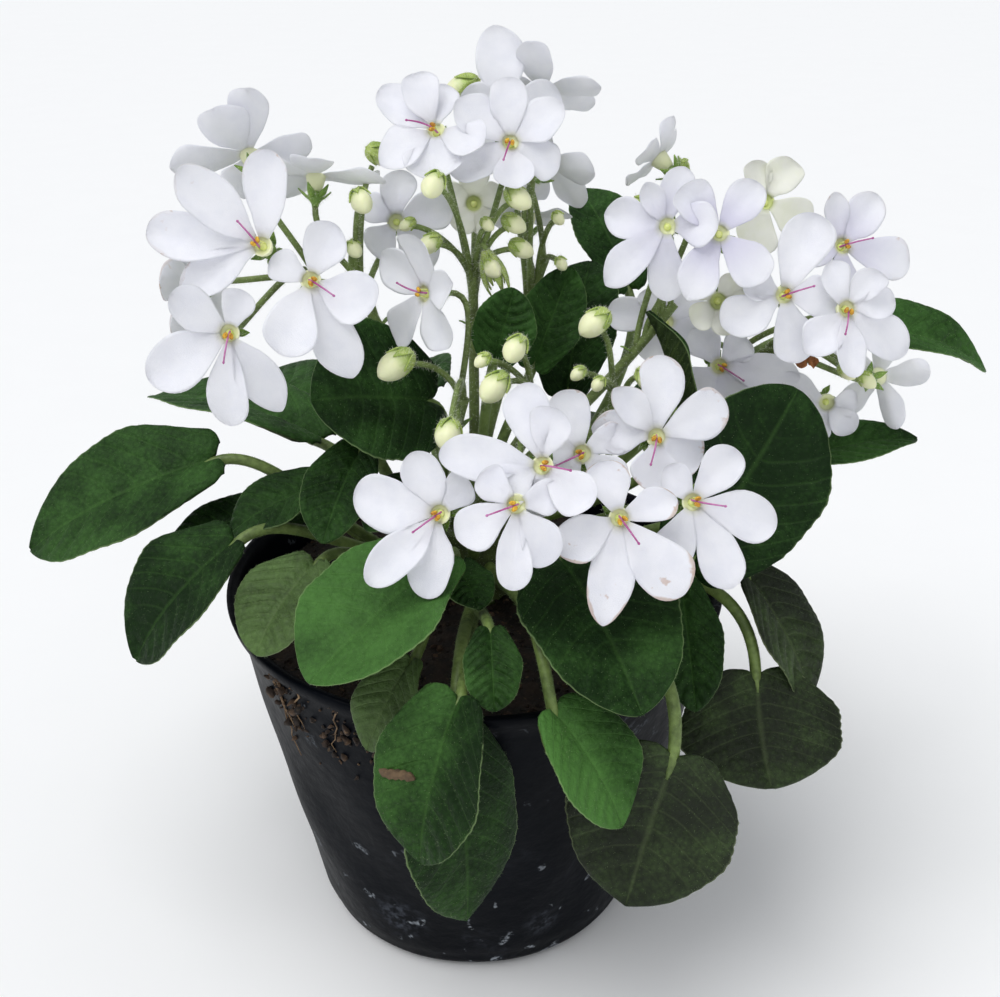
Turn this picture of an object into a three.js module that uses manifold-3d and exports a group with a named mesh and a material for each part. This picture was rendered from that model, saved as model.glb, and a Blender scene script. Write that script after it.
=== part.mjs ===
import * as THREE from 'three';
import Module from 'manifold-3d';

// A potted African violet: a soft black nursery pot full of soil, a short crown that stands in the soil,
// a rosette of long-stalked leaves round the crown, and sprays of white blooms and pale buds above them.
// Millimetres, Z up. The origin is the middle of the pot's underside, and the plant is seen along +Y.

// Driving dimensions
const potHeight = 108;
const potTopRadius = 71;
const potBaseRadius = 50;
const potWall = 1.2;
const potFloor = 2;
const potEdge = 5; // radius of the rounded lower edge
const potDent = 1.6; // how far the soft wall is dented
const potSides = 24;
const gap = 0.3; // between pieces that touch
const soilLevel = 97;
const soilMound = 7; // how much higher the soil is at the crown
const crownRadius = 11;
const crownBottom = 82;
const crownTop = 125;
const crownSides = 12;
const leafThickness = 1;
const stalkRadius = 2; // leaf stalk
const petalThickness = 0.7;
const throatRadius = 2.2;
const throatDepth = 4.5;
const calyxDepth = 8.5; // from the throat's mouth back to the end of the pedicel
const pedicelRadius = 0.9;
const peduncleRadius = 1.5;

const leafGreen = 0x2c5a2a;
const stemGreen = 0x7f9a4c;
const petalWhite = 0xf2f1f4;
const creamWhite = 0xe9ecc4;

const wasm = await Module();
wasm.setup();

const vector = (x, y, z) => new THREE.Vector3(x, y, z);
const radians = THREE.MathUtils.degToRad;
const mix = THREE.MathUtils.lerp;

// Solids: each is a list of points and a list of triangles that close on themselves
function solidOf(points, triangles) {
  return new wasm.Manifold(new wasm.Mesh({
    numProp: 3,
    vertProperties: new Float32Array(points.flatMap((point) => point.toArray())),
    triVerts: new Uint32Array(triangles.flat()),
  }));
}

// The crumbs that a union leaves where two faces graze each other are dropped
function fused(solids) {
  const whole = solids.reduce((sum, solid) => sum.add(solid));
  return wasm.Manifold.compose(whole.decompose().filter((piece) => piece.volume() > 0.01));
}

function meshOf(name, solid, color, roughness) {
  const { vertProperties, triVerts, numProp } = solid.getMesh();
  const geometry = new THREE.BufferGeometry();
  const places = new Float32Array((vertProperties.length / numProp) * 3);
  for (let i = 0; i * 3 < places.length; i += 1) {
    places.set(vertProperties.subarray(i * numProp, i * numProp + 3), i * 3);
  }
  geometry.setAttribute('position', new THREE.BufferAttribute(places, 3));
  geometry.setIndex(new THREE.BufferAttribute(new Uint32Array(triVerts), 1));
  geometry.computeVertexNormals();
  const mesh = new THREE.Mesh(geometry, new THREE.MeshStandardMaterial({ color, roughness, metalness: 0 }));
  mesh.name = name;
  return mesh;
}

// A closed sheet of even thickness round an open surface, split alike on both faces. Each triangle counts
// alike in the normal of its corners, so that a narrow funnel keeps its wall beside wide petals.
function sheet(points, triangles, thickness) {
  const normals = points.map(() => vector(0, 0, 0));
  for (const [a, b, c] of triangles) {
    const across = points[b].clone().sub(points[a]).cross(points[c].clone().sub(points[a])).normalize();
    for (const corner of [a, b, c]) normals[corner].add(across);
  }
  const half = thickness / 2;
  const front = points.map((point, i) => point.clone().addScaledVector(normals[i].normalize(), half));
  const back = points.map((point, i) => point.clone().addScaledVector(normals[i], -half));
  const count = points.length;
  const edges = new Set(triangles.flatMap(([a, b, c]) => [`${a},${b}`, `${b},${c}`, `${c},${a}`]));
  const faces = triangles.flatMap(([a, b, c]) => [[a, b, c], [a + count, c + count, b + count]]);
  for (const edge of edges) {
    const [a, b] = edge.split(',').map(Number);
    if (!edges.has(`${b},${a}`)) faces.push([b, a, a + count], [b, a + count, b + count]);
  }
  return solidOf([...front, ...back], faces);
}

// A closed rod along a curve. sizes are pairs of a share of the curve's length and the radius there, and the
// corners of each ring are turned towards the reference direction. The rings of an eased rod lean towards the
// straight pieces beside them and only its last ring is turned towards the reference, so that a sharp bend
// between two rings neither flattens nor twists it.
function rod(curve, sizes, sides, reference, eased) {
  const points = [];
  const faces = [];
  const centres = sizes.map(([share]) => curve.getPointAt(share));
  const directions = sizes.map(([share], i) => {
    const along = curve.getTangentAt(share);
    if (eased && i > 0) along.add(centres[i].clone().sub(centres[i - 1]).normalize());
    if (eased && i + 1 < centres.length) along.add(centres[i + 1].clone().sub(centres[i]).normalize());
    return along.normalize();
  });
  const level = (side, along) => side.clone().addScaledVector(along, -side.dot(along)).normalize();
  const asides = directions.map((along) => level(reference, along));
  if (eased) {
    for (let i = asides.length - 2; i >= 0; i -= 1) asides[i] = level(asides[i + 1], directions[i]);
  }
  sizes.forEach(([, radius], i) => {
    const centre = centres[i];
    const across = asides[i];
    const other = directions[i].clone().cross(across);
    for (let j = 0; j < sides; j += 1) {
      const turn = (2 * Math.PI * j) / sides;
      points.push(centre.clone()
        .addScaledVector(across, radius * Math.cos(turn))
        .addScaledVector(other, radius * Math.sin(turn)));
      const a = i * sides + j;
      const b = i * sides + ((j + 1) % sides);
      if (i > 0) faces.push([a - sides, b - sides, b], [a - sides, b, a]);
    }
  });
  const last = (sizes.length - 1) * sides;
  const endCap = [];
  for (let j = 1; j < sides - 1; j += 1) {
    faces.push([0, j + 1, j]);
    endCap.push([last, last + j, last + j + 1]);
  }
  return { points, faces, endCap, last };
}

function tapered(startRadius, endRadius, steps) {
  return Array.from({ length: steps + 1 }, (_, i) => [i / steps, mix(startRadius, endRadius, i / steps)]);
}

function rodSolid(curve, sizes, sides, reference, eased = false) {
  const { points, faces, endCap } = rod(curve, sizes, sides, reference, eased);
  return solidOf(points, [...faces, ...endCap]);
}

// A solid of revolution whose radius may also change round it: rings from the bottom to the top
function rings(levels, sides, radiusAt) {
  const points = [];
  const faces = [];
  levels.forEach(([radius, height], i) => {
    for (let j = 0; j < sides; j += 1) {
      const turn = (2 * Math.PI * j) / sides;
      const out = radiusAt(radius, height, turn);
      points.push(vector(out * Math.cos(turn), out * Math.sin(turn), height));
      const a = i * sides + j;
      const b = i * sides + ((j + 1) % sides);
      if (i > 0) faces.push([a - sides, b - sides, b], [a - sides, b, a]);
    }
  });
  const bottom = points.length;
  const last = (levels.length - 1) * sides;
  points.push(vector(0, 0, levels[0][1]), vector(0, 0, levels.at(-1)[1]));
  for (let j = 0; j < sides; j += 1) {
    const next = (j + 1) % sides;
    faces.push([bottom, next, j], [bottom + 1, last + j, last + next]);
  }
  return solidOf(points, faces);
}

// The pot: a straight taper with shallow dents that fade out at the flat underside and at the rim
function potRadius(height) {
  return mix(potBaseRadius, potTopRadius, height / potHeight);
}

function dentedRadius(radius, height, turn) {
  const fade = Math.sin(Math.PI * THREE.MathUtils.clamp(height / potHeight, 0, 1)) ** 0.7;
  const wave = Math.sin(3 * turn + 0.8) + 0.6 * Math.sin(5 * turn + height / 22) + 0.4 * Math.sin(2 * turn);
  return radius + potDent * fade * wave * Math.min(1, radius / potBaseRadius);
}

function pot() {
  const outer = rings([
    [potBaseRadius - potEdge, 0],
    [potRadius(potEdge), potEdge],
    [potRadius(potHeight * 0.36), potHeight * 0.36],
    [potRadius(potHeight * 0.68), potHeight * 0.68],
    [potRadius(potHeight - 6), potHeight - 6],
    [potTopRadius + 1.4, potHeight],
  ], potSides, dentedRadius);
  const hollow = rings([
    [potBaseRadius - potEdge, potFloor],
    [potRadius(potHeight * 0.36) - potWall, potHeight * 0.36],
    [potRadius(potHeight * 0.68) - potWall, potHeight * 0.68],
    [potTopRadius - potWall, potHeight + 1],
  ], potSides, dentedRadius);
  return outer.subtract(hollow);
}

// The soil fills the pot up to a low mound, and the crown stands in a plain hole in it
function soil() {
  const inset = potWall + gap * 1.5;
  const body = rings([
    [potBaseRadius - potEdge - 1, potFloor + gap],
    [potRadius(potHeight * 0.36) - inset, potHeight * 0.36],
    [potRadius(potHeight * 0.68) - inset, potHeight * 0.68],
    [potRadius(soilLevel) - inset - 1, soilLevel],
    [crownRadius + 6, soilLevel + soilMound],
  ], potSides, dentedRadius);
  const hole = rings([
    [crownRadius + gap, crownBottom - gap],
    [crownRadius + gap, soilLevel + soilMound + 5],
  ], crownSides, (radius) => radius);
  return body.subtract(hole);
}

// Leaves, in the groups whose stalks leave the crown at one place: its azimuth from the front towards +X
// and its height, or its X and Y on the crown's top. A leaf has a heart-shaped blade from its joint to its
// tip. width is across the blade, turn rolls it about its midrib, arch raises the middle of the midrib, cup
// raises the two edges, and point is how pointed the tip is, from 0 to 1.
const lowTier = 109;
const midTier = 115;
const topTier = 121;
const leafGroups = {
  left_long: { root: [-90, lowTier], leaves: [
    { joint: [-76, 0, 144], tip: [-128, -6, 119], width: 38, turn: -28, arch: 5, cup: 2, point: 0.5 },
    { joint: [-50, -6, 131], tip: [-86, -10, 125], width: 20, turn: -15, arch: 2, cup: 1, point: 0.4 }] },
  left_back: { root: [-112, midTier], leaves: [
    { joint: [-48, 16, 145], tip: [-101, 42, 147], width: 36, turn: 5, arch: 5, cup: 2, point: 0.4 }] },
  left_low: { root: [-67, midTier], leaves: [
    { joint: [-64, -33, 135], tip: [-89, -46, 108], width: 33, turn: -12, arch: 4, cup: 3, point: 0.3 },
    { joint: [-42, -14, 144], tip: [-66, -24, 134], width: 21, turn: -10, arch: 2, cup: 1, point: 0.3 }] },
  crinkled: { root: [-45, lowTier], leaves: [
    { joint: [-41, -42, 134], tip: [-54, -60, 119], width: 25, turn: 0, arch: 3, cup: 2, point: 0.1 }] },
  front_left: { root: [-22, midTier], leaves: [
    { joint: [-9, -52, 141], tip: [-38, -79, 124], width: 37, turn: -6, arch: 2, cup: 3, point: 0.2 },
    { joint: [-3, -47, 137], tip: [2, -61, 133], width: 13, turn: 0, arch: 1, cup: 1, point: 0.1 },
    { joint: [-15, -67, 121], tip: [-25, -79, 104], width: 18, turn: 0, arch: 2, cup: 1, point: 0.2 }] },
  round_left: { root: [-45, topTier], leaves: [
    { joint: [-12, -8, 166], tip: [-41, -24, 173], width: 42, turn: -42, arch: 3, cup: 3, point: 0.1 },
    { joint: [-30, -22, 157], tip: [-38, -42, 141], width: 20, turn: -6, arch: 2, cup: 2, point: 0.3 }] },
  heart_left: { root: [0, topTier], leaves: [
    { joint: [-8, -22, 147], tip: [-27, -40, 144], width: 20, turn: -8, arch: 2, cup: 2, point: 0.2 }] },
  front_hanging: { root: [0, lowTier], leaves: [
    { joint: [-3, -84, 121], tip: [-12, -97, 85], width: 32, turn: 4, arch: 3, cup: 2, point: 0.3 },
    { joint: [-3, -79, 105], tip: [-1, -82, 51], width: 33, turn: 0, arch: 2, cup: -2, point: 0.5 },
    { joint: [5, -66, 130], tip: [6, -78, 116], width: 14, turn: 0, arch: 1, cup: 1, point: 0.1 }] },
  front_round: { root: [22, midTier], leaves: [
    { joint: [23, -42, 136], tip: [41, -82, 117], width: 39, turn: 6, arch: 5, cup: 3, point: 0.1 },
    { joint: [21, -77, 113], tip: [37, -89, 89], width: 27, turn: 6, arch: 3, cup: 2, point: 0.5 }] },
  right_hanging: { root: [45, lowTier], leaves: [
    { joint: [50, -75, 97], tip: [39, -86, 60], width: 44, turn: -35, arch: -3, cup: -2, point: 0.3 }] },
  right_dark: { root: [45, topTier], leaves: [
    { joint: [55, -40, 126], tip: [58, -58, 100], width: 18, turn: 12, arch: 2, cup: 1, point: 0.3 }] },
  right_low: { root: [90, lowTier], leaves: [
    { joint: [77, -20, 117], tip: [95, -32, 85], width: 27, turn: 4, arch: 3, cup: 2, point: 0.5 },
    { joint: [78, -36, 95], tip: [80, -58, 75], width: 46, turn: 0, arch: -2, cup: -2, point: 0.2 }] },
  right_broad: { root: [67, midTier], leaves: [
    { joint: [60, -26, 128], tip: [86, -14, 172], width: 42, turn: 64, arch: 3, cup: 3, point: 0.0 }] },
  right_point: { root: [112, midTier], leaves: [
    { joint: [90, 6, 141], tip: [130, 16, 144], width: 20, turn: 14, arch: 3, cup: 2, point: 0.8 }] },
  right_far: { root: [112, topTier], leaves: [
    { joint: [108, 26, 174], tip: [153, 32, 159], width: 22, turn: 24, arch: 6, cup: 3, point: 0.7 },
    { joint: [56, -8, 163], tip: [46, -4, 190], width: 16, turn: 20, arch: 2, cup: 5, point: 0.8 }] },
  back_strip: { root: [135, topTier], leaves: [
    { joint: [46, 52, 180], tip: [32, 76, 203], width: 22, turn: -14, arch: 4, cup: 3, point: 0.5 },
    { joint: [27, 17, 160], tip: [34, 42, 190], width: 25, turn: 0, arch: 4, cup: 3, point: 0.1 }] },
  centre_up: { above: [2, -0.6], leaves: [
    { joint: [6, -5, 177], tip: [11, -3, 196], width: 17, turn: 70, arch: 1, cup: 2, point: 0.2 },
    { joint: [17, 6, 172], tip: [27, 16, 196], width: 18, turn: 40, arch: 2, cup: 3, point: 0.4 }] },
  rear_long: { root: [-157, midTier], leaves: [
    { joint: [-20, 66, 138], tip: [-38, 112, 124], width: 38, turn: 0, arch: 5, cup: 3, point: 0.3 }] },
  rear_left: { root: [-135, lowTier], leaves: [
    { joint: [-50, 50, 142], tip: [-84, 78, 132], width: 34, turn: 0, arch: 5, cup: 3, point: 0.4 }] },
  rear_right: { root: [135, lowTier], leaves: [
    { joint: [58, 56, 138], tip: [92, 84, 124], width: 36, turn: 0, arch: 5, cup: 3, point: 0.3 }] },
  rear_low: { root: [180, lowTier], leaves: [
    { joint: [24, 80, 122], tip: [34, 118, 96], width: 34, turn: 0, arch: 4, cup: 3, point: 0.4 }] },
};
const broadLeaf = 23; // a wider blade than this is split more finely
const leafRows = { fine: [0, 0.28, 0.58, 0.84], coarse: [0, 0.4, 0.76] };
const leafColumns = { fine: [-1, -0.5, 0, 0.5, 1], coarse: [-1, 0, 1] };
const leafSinus = 0.1; // how far the lobes at the base reach back past the joint, as a share of the length

// Half the blade's width at a share of its length
function leafSpread(along, point) {
  const widest = 0.42;
  if (along < widest) return mix(0.56, 1, Math.sin((Math.PI / 2) * (along / widest)));
  const out = (along - widest) / (1 - widest);
  return (1 - out ** mix(2.4, 1.5, point)) ** mix(0.6, 0.85, point);
}

function leafFrame(leaf) {
  const joint = vector(...leaf.joint);
  const axis = vector(...leaf.tip).sub(joint);
  const length = axis.length();
  axis.normalize();
  const side = axis.clone().cross(vector(0, 0, 1)).normalize();
  side.applyAxisAngle(axis, radians(leaf.turn));
  const face = side.clone().cross(axis).normalize();
  return { joint, axis, length, side, face };
}

function leafPoint(leaf, frame, along, across) {
  const lobes = leafSinus * (1 - along) ** 2 * Math.sin(Math.PI * Math.min(1, Math.abs(across) * 1.2));
  const reach = (along - lobes) * frame.length;
  const spread = across * leafSpread(along, leaf.point) * (leaf.width / 2);
  const rise = leaf.arch * 4 * along * (1 - along)
    + leaf.cup * across ** 2 * Math.sin(Math.PI * mix(0.2, 0.9, along));
  return frame.joint.clone()
    .addScaledVector(frame.axis, reach)
    .addScaledVector(frame.side, spread)
    .addScaledVector(frame.face, rise);
}

function leafBlade(leaf) {
  const frame = leafFrame(leaf);
  const grade = leaf.width > broadLeaf ? 'fine' : 'coarse';
  const rows = leafRows[grade];
  const columns = leafColumns[grade];
  const points = rows.flatMap((along) => columns.map((across) => leafPoint(leaf, frame, along, across)));
  points.push(leafPoint(leaf, frame, 1, 0));
  const wide = columns.length;
  const tip = points.length - 1;
  const triangles = [];
  for (let j = 0; j < wide - 1; j += 1) {
    for (let i = 0; i < rows.length - 1; i += 1) {
      const a = i * wide + j;
      if (columns[j] < 0) triangles.push([a, a + 1, a + wide], [a + 1, a + wide + 1, a + wide]);
      else triangles.push([a, a + 1, a + wide + 1], [a, a + wide + 1, a + wide]);
    }
    triangles.push([tip - wide + j, tip - wide + j + 1, tip]);
  }
  return sheet(points, triangles, leafThickness);
}

function leafStalk(leaf, k, group) {
  const { joint, axis, length, side } = leafFrame(leaf);
  const start = vector(0, 0, crownTop + gap);
  const out = vector(0, 0, 1);
  if (group.above) {
    start.x = group.above[0];
    start.y = group.above[1];
  } else {
    const [azimuth, height] = group.root;
    out.set(Math.sin(radians(azimuth)), -Math.cos(radians(azimuth)), 0);
    start.copy(out).multiplyScalar(crownRadius + gap + 0.15 * k).setZ(height + 0.8 * k);
  }
  const away = start.distanceTo(joint);
  const overRim = joint.z < potHeight + 10; // a low leaf's stalk rises first and comes down over the rim
  const rise = vector(0, 0, overRim ? away * 0.36 : 0);
  const curve = new THREE.CubicBezierCurve3(
    start,
    start.clone().addScaledVector(out, away * 0.3),
    joint.clone().addScaledVector(axis, -away * (overRim ? 0.2 : 0.3)).add(rise),
    joint.clone().addScaledVector(axis, length * 0.08),
  );
  return rodSolid(curve, tapered(stalkRadius, stalkRadius * 0.8, overRim ? 5 : 3), 4, side);
}

// Blooms: where the throat is, the way it faces (azimuth from the front towards +X, then height), and its
// petals in clock order as seen from its front: clock angle, length, width, and how far it leans forward.
const blooms = {
  left_big: { at: [-50, -26.2, 214], face: [-10, 30], style: 312,
    petals: [[7, 20, 14, 20], [240, 22, 13, 0], [272, 27, 14, 10], [306, 22, 14, 22]] },
  left_star: { at: [-38.6, -27.4, 205.8], with: 'left_big', face: [5, 25], style: 128,
    petals: [[24, 13, 13, 8], [118, 15, 16, 10], [160, 24, 14, 0], [206, 18, 16, 8],
      [298, 13, 12, 5]] },
  left_low: { at: [-58, -35, 195], face: [5, 20], style: 190,
    petals: [[20, 9, 10, 15], [148, 21, 13, 0], [186, 21, 12, 6], [242, 21, 16, 0],
      [305, 14, 12, 22]] },
  left_side: { at: [-12, -14, 198], face: [-50, 10], style: 280,
    petals: [[0, 13, 14, 20], [70, 12, 12, 10], [140, 14, 14, 10], [215, 18, 14, 0],
      [290, 16, 14, 12]] },
  left_behind: { at: [-58, 10, 228], face: [-160, 35],
    petals: [[36, 15, 16, 15], [356, 15, 13, 25], [96, 19, 14, 0], [170, 14, 14, 0],
      [270, 15, 14, 0]] },
  left_up: { at: [-40, 3, 224], face: [180, 55],
    petals: [[0, 12, 13, 0], [72, 13, 13, 0], [135, 15, 14, 10], [222, 18, 14, 10], [278, 17, 12, 0]] },
  left_far: { at: [-71, -5, 199], face: [-115, -5],
    petals: [[0, 10, 12, 10], [70, 13, 13, 0], [140, 16, 13, 0], [215, 16, 13, 0], [290, 12, 12, 0]] },
  left_shaded: { at: [-21, 18, 208], face: [0, 20],
    petals: [[0, 12, 12, 0], [70, 14, 13, 0], [140, 14, 13, 0], [220, 9, 12, 0], [300, 9, 10, 0]] },
  top_left: { at: [-9, 5, 235], face: [-10, 50], style: 270,
    petals: [[2, 12, 12, 20], [110, 12, 14, 0], [175, 12, 18, 0], [235, 15, 16, 0], [300, 18, 13, 10],
      [330, 13, 12, 30]] },
  top_mid: { at: [10, 5, 232], with: 'top_left', face: [5, 40], style: 200,
    petals: [[0, 14, 12, 30], [62, 14, 13, 12], [115, 12, 13, 0], [178, 11, 13, 0], [240, 16, 13, 0],
      [305, 15, 14, 12]] },
  top_tall: { at: [9, 20, 237], face: [3, 23],
    petals: [[355, 21, 16, 0], [72, 13, 13, 0], [140, 12, 13, 0], [220, 12, 13, 0], [288, 11, 13, 0]] },
  top_side: { at: [19.3, 28.2, 241], with: 'top_tall', face: [166, 46],
    petals: [[10, 14, 12, 20], [80, 13, 12, 0], [150, 15, 12, 15], [215, 16, 12, 15],
      [285, 14, 12, 0]] },
  top_behind: { at: [20, 30, 221], face: [150, 25],
    petals: [[0, 12, 12, 0], [72, 12, 12, 0], [144, 14, 13, 0], [216, 14, 13, 0], [270, 13, 12, 0]] },
  top_low: { at: [15, 34, 206], face: [180, 60],
    petals: [[62, 9, 10, 0], [100, 13, 13, 0], [150, 12, 13, 0], [210, 12, 13, 0], [275, 11, 12, 0]] },
  top_cream: { at: [0, 26, 211], face: [0, 20], cream: true,
    petals: [[0, 7, 10, 20], [72, 7, 10, 20], [144, 7, 10, 20], [216, 7, 10, 20], [288, 7, 10, 20]] },
  right_front: { at: [80, -12, 197], face: [0, 25], style: 75,
    petals: [[20, 20, 16, 10], [92, 13, 13, 0], [165, 16, 14, 0], [240, 16, 14, 0],
      [290, 10, 12, 10]] },
  right_lower: { at: [96, -14, 194], with: 'right_front', face: [10, 25], style: 200,
    petals: [[40, 10, 10, 15], [84, 12, 10, 5], [128, 20, 14, 0], [182, 16, 10, 5], [226, 14, 13, 0],
      [335, 11, 10, 15]] },
  right_violet: { at: [98, 5, 205], face: [15, 30], style: 85,
    petals: [[42, 16, 13, 10], [108, 19, 14, 0], [190, 12, 12, 0], [262, 10, 10, 0],
      [352, 12, 9, 20]] },
  right_cream: { at: [78, 12, 215], face: [5, 30], cream: true,
    petals: [[35, 11, 12, 15], [120, 12, 14, 0], [200, 12, 14, 0], [270, 8, 10, 0], [345, 9, 10, 15]] },
  right_left: { at: [50, -5, 213], face: [-10, 25],
    petals: [[8, 14, 10, 10], [85, 11, 14, 25], [178, 17, 12, 0], [226, 20, 12, 0], [275, 15, 13, 0],
      [325, 10, 8, 10]] },
  right_curled: { at: [63, -8, 212], with: 'right_left', face: [0, 30],
    petals: [[35, 14, 12, 10], [140, 15, 14, 8], [210, 17, 13, 8], [320, 13, 13, 10]] },
  right_top: { at: [49, 15, 226], face: [-120, 35],
    petals: [[0, 9, 10, 20], [72, 9, 10, 15], [144, 9, 10, 15], [216, 10, 10, 15], [288, 9, 10, 20]] },
  right_young: { at: [64, -8, 194], face: [0, 15], cream: true,
    petals: [[30, 6, 8, 35], [95, 7, 9, 30], [165, 7, 9, 30], [235, 7, 9, 30], [310, 6, 8, 35]] },
  right_dim: { at: [54, 16, 180], face: [0, 30],
    petals: [[45, 11, 12, 10], [118, 13, 13, 0], [205, 10, 12, 0], [280, 15, 12, 0],
      [330, 9, 10, 10]] },
  right_below: { at: [68, 5, 171], face: [5, 20], style: 125,
    petals: [[45, 9, 12, 10], [100, 22, 14, 0], [160, 11, 13, 0], [230, 13, 14, 0],
      [328, 11, 12, 10]] },
  right_back: { at: [114, 10, 166], face: [140, -10],
    petals: [[0, 12, 9, 0], [72, 14, 9, 0], [144, 14, 9, 0], [216, 14, 9, 0], [288, 14, 9, 0]] },
  right_hidden: { at: [99, 5, 160], with: 'right_below', face: [0, 10],
    petals: [[88, 7, 10, 0], [140, 10, 10, 0], [195, 11, 10, 0], [245, 11, 10, 0], [295, 14, 10, 0]] },
  front_left: { at: [-7, -60, 159], face: [-8, 25], style: 230,
    petals: [[40, 9, 10, 15], [186, 19, 13, 0], [220, 22, 12, 10], [275, 20, 16, 0],
      [338, 14, 12, 15]] },
  front_mid: { at: [11, -69, 166], face: [0, 27], style: 250,
    petals: [[75, 9, 10, 0], [145, 14, 12, 0], [184, 18, 10, 8], [242, 14, 13, 0], [310, 9, 10, 0]] },
  front_double: { at: [17, -63, 173], with: 'front_mid', face: [-10, 35], style: 100,
    petals: [[10, 11, 12, 20], [129, 13, 13, 0], [185, 10, 12, 12], [235, 12, 13, 0], [273, 23, 13, 0],
      [338, 18, 13, 12]] },
  front_behind: { at: [27, -50, 170], with: 'front_high', face: [0, 27], style: 245,
    petals: [[60, 10, 10, 0], [130, 11, 12, 0], [220, 10, 12, 0], [282, 8, 9, 0],
      [342, 14, 13, 10]] },
  front_high: { at: [45, -47, 173], face: [5, 27], style: 200,
    petals: [[8, 18, 13, 10], [68, 18, 14, 0], [118, 11, 13, 0], [185, 12, 16, 0], [280, 14, 13, 0],
      [322, 14, 10, 15]] },
  front_low: { at: [35, -66, 161], face: [0, 27], style: 145,
    petals: [[68, 12, 10, 10], [139, 22, 16, 0], [189, 24, 13, 0], [243, 15, 13, 0],
      [344, 12, 12, 15]] },
  front_right: { at: [53, -58, 161], face: [5, 27], style: 100,
    petals: [[40, 14, 12, 12], [105, 20, 14, 0], [154, 21, 13, 6], [207, 17, 13, 0],
      [325, 9, 10, 15]] },
};
const petalWidest = 0.6; // where a petal is widest, as a share of its length
const petalBlunt = [0.96, 0.5]; // where its blunt end is, and how wide it is there, as a share of its width
const petalHollow = 0.1; // how far a petal's edges are raised, as a share of its width

function bloomFrame(bloom) {
  const [azimuth, height] = bloom.face.map(radians);
  const face = vector(
    Math.sin(azimuth) * Math.cos(height),
    -Math.cos(azimuth) * Math.cos(height),
    Math.sin(height),
  );
  const up = vector(0, 0, 1).addScaledVector(face, -face.z).normalize();
  return { centre: vector(...bloom.at), face, up, side: up.clone().cross(face) };
}

function bloomPoint(frame, clock, out, aside, rise) {
  const turn = radians(clock);
  const along = frame.up.clone().multiplyScalar(Math.cos(turn)).addScaledVector(frame.side, Math.sin(turn));
  const across = along.clone().cross(frame.face);
  return frame.centre.clone()
    .addScaledVector(along, out)
    .addScaledVector(across, aside)
    .addScaledVector(frame.face, rise);
}

// One sheet: a funnel for the throat, and petals that leave its mouth
function corolla(bloom) {
  const frame = bloomFrame(bloom);
  const count = bloom.petals.length;
  const points = [frame.centre.clone().addScaledVector(frame.face, -throatDepth)];
  const petals = [...bloom.petals].sort((one, other) => one[0] - other[0]);
  const triangles = [];
  const mouth = [];
  petals.forEach(([clock, length, width, lean], k) => {
    const before = (clock - petals[(k + count - 1) % count][0] + 360) % 360 || 360;
    const after = (petals[(k + 1) % count][0] - clock + 360) % 360 || 360;
    const rise = (reach) => length * reach * Math.tan(radians(lean));
    const share = Math.min(150, before, after) * 0.46; // of the angle to the nearer neighbour
    const half = Math.min(width / 2, (throatRadius + length * petalWidest) * Math.tan(radians(share)));
    const left = points.push(bloomPoint(frame, clock - Math.min(28, before * 0.4), throatRadius, 0, 0)) - 1;
    const right = points.push(bloomPoint(frame, clock + Math.min(28, after * 0.4), throatRadius, 0, 0)) - 1;
    mouth.push(left, right);
    const wide = after - 2 * Math.min(28, after * 0.4); // a wide gap before the next petal gets corners too
    const steps = Math.ceil(wide / 45);
    for (let i = 1; i < steps; i += 1) {
      const turn = clock + (after - wide) / 2 + (wide * i) / steps;
      mouth.push(points.push(bloomPoint(frame, turn, throatRadius, 0, 0)) - 1);
    }
    const across = (reach, sides, spread) => sides.map((side) => points.push(bloomPoint(
      frame, clock, throatRadius + length * reach, side * spread * half,
      rise(reach) + petalHollow * 2 * half * (side * side - 0.5) * reach,
    )) - 1);
    const [a, b, c] = across(petalWidest, [-1, 0, 1], 1);
    const [d, e] = across(petalBlunt[0], [-1, 1], petalBlunt[1]);
    triangles.push([left, a, b], [left, b, right], [right, b, c], [a, d, b], [b, d, e], [b, e, c]);
  });
  mouth.forEach((corner, k) => triangles.push([0, corner, mouth[(k + 1) % mouth.length]]));
  return sheet(points, triangles.map(([a, b, c]) => [a, c, b]), petalThickness);
}

// The style, which rises from the throat's wall and leans out of it towards its clock angle, with the pair
// of anthers on it. Only a bloom whose throat shows has one here.
function stamens(bloom) {
  const frame = bloomFrame(bloom);
  const lean = bloom.style;
  const turnFrom = (clock) => Math.abs(((clock - lean + 360) % 360) - 180);
  const foot = bloom.petals.map(([clock]) => clock).sort((one, other) => turnFrom(one) - turnFrom(other))[0];
  const style = new THREE.QuadraticBezierCurve3(
    bloomPoint(frame, foot, throatRadius * 0.45, 0, -throatDepth * 0.55),
    bloomPoint(frame, lean, 0, 0, 3),
    bloomPoint(frame, lean, 7, 0, 3.6),
  );
  const stalk = rodSolid(style, tapered(0.35, 0.4, 2), 3, frame.face, true);
  return stalk.add(knob(style.getPointAt(0.4), 1.2));
}

function knob(centre, radius) {
  const corners = [[0, 0, 1], [1, 0, 0], [0, 1, 0], [-1, 0, 0], [0, -1, 0], [0, 0, -1]];
  const faces = [[0, 1, 2], [0, 2, 3], [0, 3, 4], [0, 4, 1], [5, 2, 1], [5, 3, 2], [5, 4, 3], [5, 1, 4]];
  return solidOf(corners.map((corner) => vector(...corner).multiplyScalar(radius).add(centre)), faces);
}

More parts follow.
